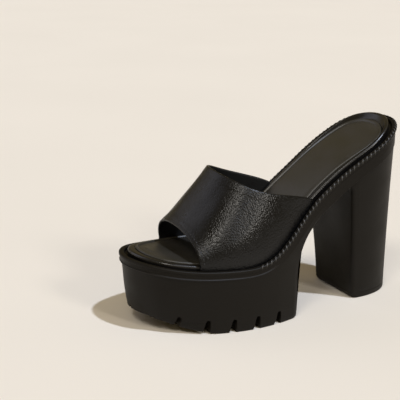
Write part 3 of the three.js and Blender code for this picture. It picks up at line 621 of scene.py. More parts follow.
def heel_floor_curve():
    """Straight sides behind the breast, then half an ellipse round the back."""
    angle = np.linspace(0, np.pi, 200)
    middle = (HEEL_OUTER_FLOOR + HEEL_INNER_FLOOR) / 2
    radius = (HEEL_OUTER_FLOOR - HEEL_INNER_FLOOR) / 2
    start = BREAST_FLOOR + HEEL_STRAIGHT
    back = np.stack([middle + radius * np.cos(angle),
                     start + (HEEL_BACK_FLOOR - start) * np.sin(angle)], -1)
    ends = np.array([[HEEL_OUTER_FLOOR, BREAST_FLOOR], [HEEL_INNER_FLOOR, BREAST_FLOOR]])
    return np.concatenate([ends[:1], back, ends[1:]])


def heel_top_curve():
    """The rim's outline behind the breast, from the outer side round the back to the inner."""
    ahead = turn_under(BREAST_TOP) * HEEL_TOP_AHEAD
    line = np.stack(outline_point(round_heel(ahead, 900), RIM_OUTSIDE - HEEL_TOP_INSET), -1)
    line = line[line[:, 1] > BREAST_TOP]
    ends = np.array([[line[0, 0], BREAST_TOP], [line[-1, 0], BREAST_TOP]])
    return np.concatenate([ends[:1], line, ends[1:]])


def heel_loop(curve, sides=220, corner=10, breast=16):
    """Closes a heel curve with the straight breast and rounds the two upright corners."""
    line = evenly(curve, sides)
    t = np.linspace(0, 1, corner)[:, None]

    def rounded(start, at, end):
        """A curve of the second degree that leaves for the corner and arrives from it."""
        return (1 - t) ** 2 * start + 2 * t * (1 - t) * at + t**2 * end

    side_step = np.array([HEEL_CORNER, 0])
    back_step = np.array([0, HEEL_CORNER])
    first, last = curve[0], curve[-1]
    clear = HEEL_CORNER * CORNER_REACH
    kept = line[(np.abs(line - first).sum(1) > clear) & (np.abs(line - last).sum(1) > clear)]
    kept = evenly(kept, sides)
    outer = rounded(first - side_step, first, first + back_step)
    inner = rounded(last + back_step, last, last + side_step)
    front = inner[-1] + (outer[0] - inner[-1]) * np.linspace(0, 1, breast)[1:-1, None]
    return np.concatenate([outer, kept, inner, front])


# %% Build the heel
heel_floor = heel_loop(heel_floor_curve())
heel_top = heel_loop(heel_top_curve())
heel_centre = np.array([0, (BREAST_FLOOR + HEEL_BACK_FLOOR) / 2])
breast_share = np.clip((BREAST_TOP + HEEL_CORNER + 1 - heel_top[:, 1]) / 2, 0, 1)
fillet_low = float(seat(BREAST_TOP) - waist(BREAST_TOP)) - BREAST_FILLET


def heel_row(level, inset):
    """Loop at a level from 0 at the floor to 1 inside the seat, set in by a small bevel."""
    z = level * (seat(heel_top[:, 1]) - HEEL_TOP_DEPTH)
    flat = heel_floor + (heel_top - heel_floor) * level**HEEL_FLARE_POWER
    outward = unit(flat - heel_centre)
    reach = np.clip((z - fillet_low) / BREAST_FILLET, 0, 1)
    fillet = BREAST_FILLET * (1 - np.sqrt(1 - reach**2))
    foot = BREAST_FOOT_RUN * np.clip(1 - z / BREAST_FOOT_RISE, 0, 1) ** 2
    shift = (foot - fillet) * breast_share
    groove = TOP_LIFT[1] * np.exp(-(((z - TOP_LIFT[0]) / TOP_LIFT[2]) ** 2))
    x = flat[:, 0] * (1 + FILLET_NARROWING * np.minimum(shift, 0))
    moved = np.stack([x, flat[:, 1] + shift], -1) - outward * (inset + groove)[:, None]
    return np.column_stack([moved, z])


heel_levels = np.concatenate([
    # close together over the bevel, at the top lift's line, and where the flange begins
    [0, 0.002, 0.005, 0.01, 0.02, 0.028], np.linspace(0.031, 0.047, 12),
    np.linspace(0.07, 0.84, 18), np.linspace(0.86, 0.965, 22), [1.0],
])
bevels = HEEL_BEVEL[0] * (1 - np.clip(heel_levels / HEEL_BEVEL[1], 0, 1)) ** 2
heel_rows = np.stack([heel_row(level, inset) for level, inset in zip(heel_levels, bevels)])


def fan_cap(loop, steps):
    """Closes a loop with shrinking copies of itself about its middle."""
    middle = loop.mean(0)
    shares = np.linspace(1, 0, steps)[:, None, None]
    return middle + (loop - middle) * shares


foot, head = fan_cap(heel_rows[0], 6), fan_cap(heel_rows[-1], 4)
heel = mesh_piece("heel_block", *capped(heel_rows, foot, head, wrap_caps=True))
report(heel)

# %% [markdown]
# ## One moulded unit
# Platform, waist and heel come out of one mould. The two closed skins overlap inside the seat
# flange, so one union removes what lies inside and leaves a single closed surface.

# %% Join heel and platform
def combine(piece, other, operation):
    """Joins or cuts a closed piece with another one, which is used up."""
    modifier = piece.modifiers.new(operation.lower(), "BOOLEAN")
    modifier.operation = operation
    modifier.solver = "MANIFOLD"
    modifier.object = other
    bpy.context.view_layer.update()
    evaluated = piece.evaluated_get(bpy.context.evaluated_depsgraph_get())
    made = bpy.data.meshes.new_from_object(evaluated)
    piece.modifiers.clear()
    piece.data = made
    bpy.data.objects.remove(other)
    return piece


TOE_SLOT_LIFT = 3.5      # the toe's own notch stands this much higher than the others
TOE_SLOT_POWER = 2 / 5   # of a superellipse: a slot with well rounded corners
TOE_SLOT_BELOW = 6.0     # its mouth reaches under the floor, so the cut is clean


def toe_slot(reach, overhang=8.0, taper=0.6, end_size=0.85, sides=48):
    """A slot solid for the toe: the notch's own outline carried straight back along y."""
    toe_x, toe_y = outline_point(0.0, RIM_OUTSIDE)
    turn = np.linspace(0, 2 * np.pi, sides, endpoint=False)
    x, z = (np.sign(v) * np.abs(v) ** TOE_SLOT_POWER for v in (np.cos(turn), np.sin(turn)))
    roof = TREAD_HEIGHT + TOE_SLOT_LIFT
    z = roof / 2 * (1 + z) + np.minimum(z, 0) * TOE_SLOT_BELOW
    half = slot_half(z, roof)
    ys = np.array([-overhang, reach - taper, reach])[:, None] + toe_y
    shrink = np.array([1, 1, end_size])[:, None]
    loop = np.stack([toe_x + x * half * shrink, ys + 0 * x, z + 0 * ys], -1)
    front, back = fan_cap(loop[0], 3), fan_cap(loop[-1], 3)
    return mesh_piece("toe_slot", *capped(loop, front, back, wrap_caps=True))


sole = combine(platform, heel, "UNION")
sole = combine(sole, toe_slot(LUG_REACH), "DIFFERENCE")
sole.name = "moulded_sole"
shade(sole.data, 35)
report(sole)

# %% [markdown]
# ## Footbed
# The insole board is wrapped in smooth leather that rolls over its edge. The roll is what
# catches the long thin highlight along the shoe, so its profile is a true quarter round.

# %% Build the footbed
ROLL_OUT = 2.4           # how far the roll reaches in over the board
ROLL_DOWN = 2.1
SOCK_MARGIN_SIDE = 3.2   # rolled edge of the footbed that shows round the sock
SOCK_MARGIN_TOE = 5.6
SOCK_MARGIN_HEEL = 7.6
SOCK_MARGIN_POWER = 12   # how quickly the margin narrows away from toe and heel
SOCK_RECESS = 1.1
HEEL_CUP = (2.0, 140.0, 50.0)   # hollow of the heel seat: depth, start station, run
HEEL_LIP = (1.2, 178.0, 24.0)   # the edge stands up round the heel: height, start, run
LIP_DEPTH = 3.0          # the lip lifts only what lies less deep than this
HEM_IN = 0.35            # the board's top ends this far outside the recess
HEM_DROP = 0.06
bed_turns = both_sides(np.linspace(0, np.pi, 221))


def sock_margin(turn):
    """Width of the edge round the sock: a power of the turn's cosine widens it at both ends."""
    end = np.where(np.cos(turn) > 0, SOCK_MARGIN_TOE, SOCK_MARGIN_HEEL)
    return SOCK_MARGIN_SIDE + (end - SOCK_MARGIN_SIDE) * np.abs(np.cos(turn)) ** SOCK_MARGIN_POWER


def heel_step(turn, height, start, run):
    """A height that comes in smoothly towards the heel, from a start station over a run."""
    return height * smooth_step((station_at(turn) - start) / run)


def roll_profile(steps=14, power=0.9):
    """Quarter of a superellipse from the board's side to its top: inset and depth columns."""
    angle = np.linspace(0, np.pi / 2, steps)
    inset = ROLL_OUT * (1 - np.cos(angle) ** power)
    depth = ROLL_DOWN * (1 - np.sin(angle) ** power)
    return np.stack([inset, depth], -1)


bed_edge = np.concatenate([
    [(0.9, FOOTBED_THICKNESS), (0.25, FOOTBED_THICKNESS - 0.2), (0, FOOTBED_THICKNESS - 0.7)],
    [(0, 3.4), (0, 2.7)], roll_profile(),
])
bed_hem = np.array([
    # in from the recess's side, depth: down into the recess
    (-HEM_IN, HEM_DROP), (-0.1, 0.25), (0, 0.6), (0, SOCK_RECESS),
])
margin = sock_margin(bed_turns)
cup, lip = heel_step(bed_turns, *HEEL_CUP), heel_step(bed_turns, *HEEL_LIP)
bed_rows = [seat_point(bed_turns, -inset, depth - lip * (depth < LIP_DEPTH))
            for inset, depth in bed_edge]
for share in np.linspace(0, 1, 10)[1:-1]:
    inset = ROLL_OUT + (margin - HEM_IN - ROLL_OUT) * share
    fall = -lip + (cup + lip) * smooth_step(share) + HEM_DROP * share
    bed_rows.append(seat_point(bed_turns, -inset, fall))
for inset, depth in bed_hem:
    bed_rows.append(seat_point(bed_turns, -(margin + inset), depth + cup))
bed_rows = np.stack(bed_rows)
bed_caps = bottom_patch(bed_rows[0], 4), bottom_patch(bed_rows[-1], 4)
footbed = mesh_piece("wrapped_footbed", *capped(bed_rows, *bed_caps), sharp=60)
report(footbed)

# %% [markdown]
# ## Sock
# The sock is thin foam under soft synthetic leather, glued into the footbed. Its edge is
# turned over a bead, and a pressed line runs inside the bead. Cloth simulation would blow it
# up like a cushion; a sock this thin is shaped by its glue, so its section is a formula.

# %% Build the sock
SOCK_GAP = 0.4           # sock's side to the recess's side
SOCK_PROFILE = np.array([
    # in from the sock's edge, height over the footbed's top edge
    (0.25, -0.80), (0.0, -0.55), (0.0, -0.15), (0.06, 0.24), (0.22, 0.58), (0.5, 0.86),
    (0.9, 1.02), (1.3, 1.04), (1.7, 0.92), (2.05, 0.64), (2.35, 0.3), (2.6, 0.1),
    (2.95, 0.02), (3.35, 0.1), (3.8, 0.26), (4.4, 0.46), (5.1, 0.6), (6.0, 0.72), (7.2, 0.8),
])
SOCK_CROWN = 0.55        # the foam stands a little higher along the middle
CROWN_ENDS = 12          # the crown comes in over the first and last twelfth of the length
CROWN_POWER = 0.8        # under 1, so the crown is flatter than half a sine wave
SOCK_BARS = 22
sock_turns = both_sides(np.linspace(0, np.pi, 161))
sock_edge, sock_cup = sock_margin(sock_turns) + SOCK_GAP, heel_step(sock_turns, *HEEL_CUP)
sock_rows = np.stack([seat_point(sock_turns, -(sock_edge + inset), sock_cup - height)
                      for inset, height in SOCK_PROFILE])
sock_field, sock_under = bottom_patch(sock_rows[-1], SOCK_BARS), bottom_patch(sock_rows[0], 4)
across = np.linspace(0, 1, SOCK_BARS)[:, None]
along = np.linspace(0, 1, sock_field.shape[1])
ends = smooth_step(along * CROWN_ENDS) * smooth_step((1 - along) * CROWN_ENDS)
sock_field[..., 2] += SOCK_CROWN * np.sin(np.pi * across) ** CROWN_POWER * ends
sock = mesh_piece("padded_sock", *capped(sock_rows, sock_field, sock_under), sharp=70)
report(sock)

# %% [markdown]
# ## Vamp band
# The band is cut from one piece, lasted over the foot and folded in at both edges. Its skin
# is a row of foot sections: superellipses that rise from the footbed's sides, each leaning
# back a little more than the one before, with the ridge towards the big toe.

# %% Band tables
BAND = np.array([
    # station, height over the seat, fullness, sideways shift of the ridge
    (26, 12.4, 2.12, -3.2), (40, 23.5, 2.2, -4.8), (56, 36.4, 2.28, -6.6), (72, 49.0, 2.31, -7.4),
    (88, 58.2, 2.3, -7.4), (108, 62.6, 2.3, -7.4), (130, 66.0, 2.29, -7.4),
])
BAND_EDGES = np.array([
    # turn over the foot in degrees, station of the toe edge, station of the instep edge
    (0, 34.9, 126.4), (30, 35.6, 104.2), (60, 36.0, 91.4), (90, 36.5, 87.8), (120, 37.0, 94.2),
    (150, 37.8, 107.2), (180, 38.2, 125.6),
])
BAND_LEAN = np.radians([3.1, 38.9])     # of the sections at the two stations below
BAND_LEAN_AT = (23.0, 133.0)
UPPER_WALL = 1.8
UPPER_STANDOFF = 2.3     # the band's outer face, outside the footbed
UPPER_TUCK = 4.7         # how far the band goes down beside the footbed
TIP_LEFT_OUT = 0.02      # turns at the toe tip and the heel back that its lines leave out

band_height, band_fullness, band_ridge = splines(BAND)
toe_edge, instep_edge = splines(BAND_EDGES)
side_fine = np.linspace(TIP_LEFT_OUT, np.pi - TIP_LEFT_OUT, 3000)
foot_outer = outline_point(side_fine, UPPER_STANDOFF)
foot_inner = outline_point(-side_fine, UPPER_STANDOFF)


def band_foot(station, side):
    """x of the band's outer face where it leaves the footbed, on the outer or inner side."""
    x, y = foot_outer if side > 0 else foot_inner
    return np.interp(station, y, x)


def band_point(station, degrees):
    """Superellipse section at a station: across cos^(2/f), up sin^(2/f), leant back."""
    outer, inner = band_foot(station, 1), band_foot(station, -1)
    power = 2 / band_fullness(station)
    c = np.cos(np.radians(degrees))
    s = np.clip(np.sin(np.radians(degrees)), 0, None)
    across = np.sign(c) * np.abs(c) ** power
    x = (outer + inner) / 2 + (outer - inner) / 2 * across + band_ridge(station) * s * s
    rise = band_height(station) * s**power
    lean = np.interp(station, BAND_LEAN_AT, BAND_LEAN)
    return np.stack([x, station - rise * np.sin(lean), seat(station) + rise * np.cos(lean)], -1)


def tuck_point(station, side, depth):
    """Straight down beside the footbed, square to the seat."""
    angle = pitch(station)
    x = band_foot(station, side)
    return np.stack([x, station + depth * np.sin(angle), seat(station) - depth * np.cos(angle)], -1)


# %% [markdown]
# ## The band's grid
# One parameter runs over the foot from the outer tuck to the inner tuck. The other runs from
# the toe edge to the instep edge. Columns over the foot are spaced by a half cosine, because
# the section turns fastest where it leaves the footbed.

# %% Band skin
ALONG = 120              # rows from the toe edge to the instep edge
TUCKS = 8                # columns down beside the footbed, on each side
over_foot = 90 - 90 * np.cos(np.radians(np.linspace(0, 180, 171)))
along_share = np.linspace(0, 1, ALONG)[:, None]


def band_skin():
    """Outer face of the band as a grid of points: along the foot, then over it."""
    start, end = toe_edge(over_foot), instep_edge(over_foot)
    station = start + along_share * (end - start)
    middle = band_point(station, over_foot[None, :] + 0 * station)
    depths = np.linspace(UPPER_TUCK, 0, TUCKS + 1)[:-1]
    outer = np.stack([tuck_point(station[:, 0], 1, d) for d in depths], 1)
    inner = np.stack([tuck_point(station[:, -1], -1, d) for d in depths[::-1]], 1)
    return np.concatenate([outer, middle, inner], 1)


skin_points = band_skin()
along_way = unit(np.gradient(skin_points, axis=0))
over_way = unit(np.gradient(skin_points, axis=1))
skin_normal = unit(np.cross(along_way, over_way))
from_toe = reach_along(skin_points)
band_length = from_toe[-1]
print("band length over the ridge, mm:", round(float(band_length[len(band_length) // 2]), 1))

# %% [markdown]
# ## Folds, stitch channel and creases
# Both edges are folded in, so the leather is a little thicker along them. One row of stitches
# pulls a fine channel into the toe edge. Soft troughs and ridges are laid one by one where the
# foot would bend the band and where the lasting pulled it.

# %% Relief of the band
FOLD_WIDTH = 6.5         # of the leather that is folded in
FOLD_PROUD = 0.12
FOLD_FADE = 1.6          # over which the fold's step falls off
STITCH_IN = 2.3          # stitch row, in from the folded edge
CHANNEL_DEPTH = 0.12
CHANNEL_HALF = 0.5
SIDES_FLAT = 14.0        # degrees over which the relief comes in from the band's two sides
SIDES_BEFORE = 2.0       # degrees before the sides, where it starts to come in
CREASES = [
    # place over the foot, share along, half width and half length in mm, height, slant
    (20, 0.40, 5.0, 22.0, 0.30, 0.35),
    (30, 0.62, 4.0, 20.0, -0.32, 0.30),
    (42, 0.75, 5.5, 18.0, 0.28, 0.20),
    (58, 0.30, 6.0, 24.0, 0.22, -0.25),
    (70, 0.60, 5.0, 22.0, -0.24, -0.15),
    (105, 0.50, 6.0, 26.0, 0.22, 0.15),
    (135, 0.35, 5.0, 22.0, -0.25, 0.30),
    (150, 0.65, 5.0, 20.0, 0.28, -0.30),
]


def band_relief():
    """Height over the plain skin: folds at both edges, the stitch channel, and the creases."""
    to_toe, to_instep = from_toe, band_length - from_toe
    fold = smooth_step((FOLD_WIDTH - np.minimum(to_toe, to_instep)) / FOLD_FADE)
    channel = np.exp(-(((to_toe - STITCH_IN) / CHANNEL_HALF) ** 2))
    relief = FOLD_PROUD * fold - CHANNEL_DEPTH * channel
    over = np.concatenate([np.zeros(TUCKS), over_foot, np.full(TUCKS, 180.0)])
    reach = reach_along(skin_points[ALONG // 2])
    for place, share, wide, long, height, slant in CREASES:
        u = reach[None, :] - np.interp(place, over_foot, reach[TUCKS:-TUCKS])
        v = from_toe - share * band_length
        across, down = u - slant * v, v + slant * u
        relief = relief + height * np.exp(-((across / wide) ** 2) - (down / long) ** 2)
    from_side = SIDES_BEFORE + np.minimum(over, 180 - over)
    return relief * smooth_step(from_side / SIDES_FLAT)


relief = band_relief()
print("relief of the band, mm:", round(float(relief.min()), 2), "to", round(float(relief.max()), 2))

# %% [markdown]
# ## A closed wall with rolled edges
# The wall's section is carried along the foot as a closed loop: the outer face, a half round
# over the instep fold, the lining side, and a half round over the toe fold. That gives every
# edge the soft roll that a Solidify modifier would leave square.

# %% Build the band
def wall_loop(points, normal, along, relief, thickness, steps=9):
    """Closed loop per column: outer face, round instep fold, inner face, round toe fold."""
    radius = thickness / 2
    outer = points + normal * relief[..., None]
    inner = points - normal * thickness
    angle = np.linspace(np.pi / 2, -np.pi / 2, steps)[1:-1, None, None]

    def fold(row, way):
        """Half circle from the outer face over the edge to the inner one."""
        centre = points[row] - normal[row] * radius
        lift = normal[row] * (relief[row, :, None] * 0.5)
        return centre + lift + radius * (np.sin(angle) * normal[row] + np.cos(angle) * way)

    back = fold(-1, along[-1])
    front = fold(0, -along[0])[::-1]
    return np.concatenate([outer, back, inner[::-1], front])


wall = wall_loop(skin_points, skin_normal, along_way, relief, UPPER_WALL)
loop_rows, loop_cols = wall.shape[:2]
fold_steps = (loop_rows - 2 * ALONG) // 2
band_patches = [(wall, grid_faces(loop_rows, loop_cols, wrap_rows=True))]
for side_column in (wall[:, 0], wall[:, -1]):
    outer_line = side_column[:ALONG]
    back_end = ALONG + fold_steps
    inner_line = side_column[back_end:back_end + ALONG][::-1]
    hem = np.stack([outer_line, (outer_line + inner_line) / 2, inner_line])
    band_patches.append((hem, grid_faces(3, ALONG)))
    toe_round = np.concatenate([inner_line[:1], side_column[back_end + ALONG:], outer_line[:1]])
    back_round = np.concatenate([outer_line[-1:], side_column[ALONG:back_end], inner_line[-1:]])
    for rounded_end in (toe_round, back_round):
        middle = (rounded_end[:1] + rounded_end[-1:]) / 2
        fan = np.stack([rounded_end, np.repeat(middle, len(rounded_end), 0)])
        band_patches.append((fan, grid_faces(2, len(rounded_end))))
band = mesh_piece("vamp_band", *joined(band_patches), sharp=75)
report(band)

# %% [markdown]
# ## Stitches
# Topstitching is a row of short thread segments that dip into the leather at both ends. Each
# one is the same small capsule, placed by the frame of the surface at its middle, so a whole
# row is one joined mesh.

# %% Stitch helper
def stitch_row(name, places, ways, normals, length, width, height, dip):
    """Capsules at places, along ways, standing on normals: a sphere stretched along the way.
    A power under 1 of the sine makes its ends blunt, and the dip sinks them by a cosine squared.
    """
    rings, around, blunt = 9, 8, 0.7
    t = np.linspace(0, np.pi, rings)[:, None]
    turn = np.linspace(0, 2 * np.pi, around, endpoint=False)[None, :]
    along = -np.cos(t) * np.ones_like(turn) * length / 2
    across = np.sin(t) ** blunt * np.cos(turn) * width / 2
    up = np.sin(t) ** blunt * np.sin(turn) * height / 2 - dip * np.cos(t) ** 2
    side = unit(np.cross(normals, ways))
    shape = places[:, None, None]
    for amount, direction in ((along, ways), (across, side), (up, normals)):
        shape = shape + amount[None, ..., None] * direction[:, None, None]
    faces = grid_faces(rings, around, wrap_cols=True)
    return mesh_piece(name, *joined([(one, faces) for one in shape]), sharp=80)


def along_line(line, normals, pitch_mm, start, chord=0.3):
    """Places, ways and normals at even steps along a polyline with a normal at each point."""
    reach = reach_along(line)
    want = np.arange(start, reach[-1], pitch_mm)
    ways = unit(picked(line, reach, want + chord) - picked(line, reach, want - chord))
    return picked(line, reach, want), ways, unit(picked(normals, reach, want))


# %% Stitches along the toe edge
def band_line(distance):
    """Line over the foot at a distance in from the toe edge, with its normals."""
    row = np.array([np.interp(distance, from_toe[:, c], np.arange(ALONG))
                    for c in range(skin_points.shape[1])])
    low = np.clip(row.astype(int), 0, ALONG - 2)
    share = (row - low)[:, None]
    columns = np.arange(skin_points.shape[1])
    outer = skin_points + skin_normal * relief[..., None]
    line = outer[low, columns] * (1 - share) + outer[low + 1, columns] * share
    return line[TUCKS:-TUCKS], skin_normal[low, columns][TUCKS:-TUCKS]


toe_places, toe_ways, toe_normals = along_line(*band_line(STITCH_IN), pitch_mm=3.0, start=2.0)
toe_stitches = stitch_row("toe_edge_stitches", toe_places, toe_ways, toe_normals,
                          length=2.5, width=0.62, height=0.5, dip=0.35)
print("stitches along the toe edge:", len(toe_places))

# %% [markdown]
# ## Moulded stitches on the rim
# The rim carries a row of raised marks that imitate hand stitching. They run from behind the
# ball round the heel, and leave the toe smooth.

# %% Rim marks
RIM_MARK_FROM = 76.0     # station where the marks begin, on both sides
MARK_SLANT = 0.9         # across over along: the marks lie slanted over the rim's edge
MARK_AT = (5.55, RIM_DROP + 0.25)   # middle of the row: out from the footbed, depth under it
MARK_FROM = (5.35, RIM_DROP)        # the marks face from this place on the rim
MARK_TOWARDS = (6.25, RIM_DROP - 1)
rim_turns = round_heel(turn_of(RIM_MARK_FROM), 3000)
mark_line = seat_point(rim_turns, *MARK_AT)
mark_up = unit(seat_point(rim_turns, *MARK_TOWARDS) - seat_point(rim_turns, *MARK_FROM))
mark_places, mark_ways, mark_normals = along_line(mark_line, mark_up, pitch_mm=4.0, start=1.0)
mark_slant = unit(mark_ways + MARK_SLANT * np.cross(mark_normals, mark_ways))
rim_marks = stitch_row("rim_marks", mark_places, mark_slant, mark_normals,
                       length=4.2, width=1.7, height=1.1, dip=0.5)
print("marks on the rim:", len(mark_places))

# %% [markdown]
# ## Materials
# All four finishes are nearly black, so colour alone can't tell them apart. What does is how
# they answer the light: the foam wall is dull, the sock soft, the roll glossy, and the nappa
# broad and grainy. One function adds any node, with its settings and links.

# %% Material helpers
def linear(hex_colour):
    """sRGB hex to the linear values that a shader needs."""
    srgb = np.array([int(hex_colour[i:i + 2], 16) for i in (1, 3, 5)]) / 255
    value = np.where(srgb <= 0.04045, srgb / 12.92, ((srgb + 0.055) / 1.055) ** 2.4)
    return (*value.tolist(), 1.0)


def add_node(tree, kind, settings=None, **links):
    """Adds a node, sets its colour stops, sockets and properties, and links its sockets."""
    node = tree.nodes.new(kind)
    for key, value in (settings or {}).items():
        if key == "stops":
            for stop, (place, colour) in zip(node.color_ramp.elements, value):
                stop.position, stop.color = place, linear(colour)
        elif key in node.inputs:
            node.inputs[key].default_value = value
        else:
            setattr(node, key, value)
    for key, source in links.items():
        tree.links.new(source, node.inputs[key.replace("_", " ")])
    return node


def new_material(name):
    """An empty node material, its node tree, and its object coordinates."""
    material = bpy.data.materials.new(name)
    material.use_nodes = True
    tree = material.node_tree
    tree.nodes.clear()
    return material, tree, add_node(tree, "ShaderNodeTexCoord").outputs["Object"]


def finish_material(tree, settings, **links):
    """The principled shader with its settings and links, wired to the output."""
    shader = add_node(tree, "ShaderNodeBsdfPrincipled", settings, **links)
    add_node(tree, "ShaderNodeOutputMaterial", Surface=shader.outputs["BSDF"])


def per_metre(size_mm):
    """Texture scale whose features are about size_mm across, on object coordinates."""
    return 1 / (size_mm * MM)


NOISE_MIDDLE = {"From Min": 0.3, "From Max": 0.7}    # most of a noise's values lie in here


# %% [markdown]
# ### Foamed polyurethane
# The sole is polyurethane foam with its own skin, as it comes from a sandblasted mould: a dull
# warm black. The fine tooth of the mould spreads the light, so the wall stays even.

# %% Sole material
def polyurethane(name, dark, light, rough, level):
    """Moulded foam skin: even colour, faint clouding, and a fine sandblasted tooth."""
    material, tree, where = new_material(name)
    cloud = add_node(tree, "ShaderNodeTexNoise",
                     {"Scale": per_metre(22), "Detail": 3.0}, Vector=where).outputs["Fac"]
    swell = add_node(tree, "ShaderNodeTexNoise",
                     {"Scale": per_metre(9), "Detail": 1.0}, Vector=where).outputs["Fac"]
    tooth = add_node(tree, "ShaderNodeTexNoise",
                     {"Scale": per_metre(0.9), "Detail": 2.0}, Vector=where).outputs["Fac"]
    colour = add_node(tree, "ShaderNodeValToRGB",
                      {"stops": [(0.3, dark), (0.7, light)]}, Fac=cloud)
    gloss = add_node(tree, "ShaderNodeMapRange",
                     {**NOISE_MIDDLE, "To Min": rough - 0.05, "To Max": rough + 0.06}, Value=cloud)
    soft = add_node(tree, "ShaderNodeBump",
                    {"Strength": 0.12, "Distance": 0.6 * MM}, Height=swell)
    fine = add_node(tree, "ShaderNodeBump", {"Strength": 0.22, "Distance": 0.12 * MM},
                    Height=tooth, Normal=soft.outputs["Normal"])
    finish_material(tree, {"IOR": 1.5, "Specular IOR Level": level},
                    Base_Color=colour.outputs["Color"], Roughness=gloss.outputs["Result"],
                    Normal=fine.outputs["Normal"])
    return material


sole_skin = polyurethane("polyurethane_foam_skin_moulded", "#0b0702", "#0e0a04", 0.54, 0.22)
# The rim marks take the same foam in a lighter colour and a glossier finish: the lighter colour is
# a painted highlight for the light their raised tops catch.
rim_skin_painted_highlight = polyurethane("polyurethane_rim_painted_highlight", "#24211c", "#2a2722", 0.4, 0.5)


# %% [markdown]
# ### Leather finishes
# Nappa is soft leather with a thin glossy coat: pebbled grain about a millimetre across, with
# finer pores inside it. The grain breaks the highlight into a broad shimmer.

# %% Leather materials
def leather(name, dark, light, rough, grain_mm, grain_depth_mm, coat=0.0, level=0.5):
    """Coated leather: pebbles from cell distance, pores from fine noise, soft cloudy gloss."""
    material, tree, where = new_material(name)
    cloud = add_node(tree, "ShaderNodeTexNoise",
                     {"Scale": per_metre(16), "Detail": 4.0}, Vector=where).outputs["Fac"]
    stir = add_node(tree, "ShaderNodeTexNoise",
                    {"Scale": per_metre(4), "Detail": 2.0}, Vector=where)
    shift = add_node(tree, "ShaderNodeVectorMath", {"operation": "SCALE", "Scale": 1.2 * MM},
                     Vector=stir.outputs["Color"])
    moved = add_node(tree, "ShaderNodeVectorMath", {"operation": "ADD"})
    tree.links.new(where, moved.inputs[0])
    tree.links.new(shift.outputs[0], moved.inputs[1])
    pebbles = add_node(tree, "ShaderNodeTexVoronoi",
                       {"feature": "SMOOTH_F1", "Scale": per_metre(grain_mm), "Smoothness": 0.6},
                       Vector=moved.outputs[0])
    pores = add_node(tree, "ShaderNodeTexNoise",
                     {"Scale": per_metre(grain_mm * 0.45), "Detail": 3.0}, Vector=where)
    grain = add_node(tree, "ShaderNodeBump",
                     {"Strength": 0.7, "Distance": grain_depth_mm * MM, "invert": True},
                     Height=pebbles.outputs["Distance"])
    fine = add_node(tree, "ShaderNodeBump",
                    {"Strength": 0.35, "Distance": grain_depth_mm * 0.4 * MM},
                    Height=pores.outputs["Fac"], Normal=grain.outputs["Normal"])
    colour = add_node(tree, "ShaderNodeValToRGB",
                      {"stops": [(0.3, dark), (0.75, light)]}, Fac=cloud)
    gloss = add_node(tree, "ShaderNodeMapRange",
                     {**NOISE_MIDDLE, "To Min": rough - 0.05, "To Max": rough + 0.07}, Value=cloud)
    finish_material(tree, {"IOR": 1.5, "Specular IOR Level": level, "Coat Weight": coat,
                           "Coat Roughness": 0.22},
                    Base_Color=colour.outputs["Color"], Roughness=gloss.outputs["Result"],
                    Normal=fine.outputs["Normal"])
    return material


nappa = leather("nappa_leather_semi_gloss", "#020203", "#040405", 0.3, 1.2, 0.28, level=0.36)
lining = leather("lining_leather_dull", "#050505", "#070707", 0.6, 1.0, 0.06)
roll_leather = leather("footbed_wrap_glossy", "#0d0c0c", "#100f0f", 0.3, 0.9, 0.05, coat=0.15)
sock_leather = leather("sock_synthetic_leather_matte", "#2a2822", "#2e2b26", 0.38, 0.8, 0.05,
                       level=0.6)


# %% [markdown]
# ### Bonded thread
# Bonded nylon thread is twisted from three plies and waxed, so it is a shade glossier than
# the leather it lies on.

# %% Thread material
def thread_material(name, valley, ridge):
    """Twisted thread: slanted bands across each stitch, drawn as coarse as they can show. The
    valley colour is painted shade between the plies, the ridge colour a painted highlight on them.
    """
    material, tree, where = new_material(name)
    ply = add_node(tree, "ShaderNodeTexWave", {"Scale": 0.35 / MM / 3, "Distortion": 0.6},
                   Vector=where).outputs["Fac"]
    twist = add_node(tree, "ShaderNodeBump", {"Strength": 0.4, "Distance": 0.1 * MM}, Height=ply)
    colour = add_node(tree, "ShaderNodeValToRGB",
                      {"stops": [(0.2, valley), (0.8, ridge)]}, Fac=ply)
    finish_material(tree, {"Roughness": 0.42, "IOR": 1.5},
                    Base_Color=colour.outputs["Color"], Normal=twist.outputs["Normal"])
    return material


# The darker valley colour is painted shade and the lighter ridge colour painted highlight on the
# twist.
thread = thread_material("bonded_nylon_thread", "#1c1c1e", "#262628")

# %% [markdown]
# ## Putting finishes on the pieces
# Most pieces take one finish. The band has two: leather outside and lining inside, told apart
# by which way a face looks from the middle of the foot.

# %% Assign materials and hang the pieces on the frame
BODY = "root"


def dress(piece, slot, nodes, *materials):
    """Gives a piece its finishes and its body, and hides the CAD nodes it stands for; slot is not
    used.
    """
    piece.data.materials.clear()
    for material in materials:
        piece.data.materials.append(material)
    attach(piece, BODY)
    if nodes:
        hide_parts(*nodes)


dress(sole, "moulded_sole", ["sole_unit"], sole_skin)
dress(rim_marks, "moulded_sole", [], rim_skin_painted_highlight)
dress(footbed, "footbed_wrap", ["footbed"], roll_leather)
dress(sock, "sock", ["sock_lining"], sock_leather)
dress(band, "upper_leather", ["upper_band"], nappa, lining)
dress(toe_stitches, "upper_leather", [], thread)


# %% Lining faces of the band
def face_values(piece, name):
    """A vector of every face of a piece: its `center` or its `normal`."""
    values = np.empty(len(piece.data.polygons) * 3, np.float32)
    piece.data.polygons.foreach_get(name, values)
    return values.reshape(-1, 3)


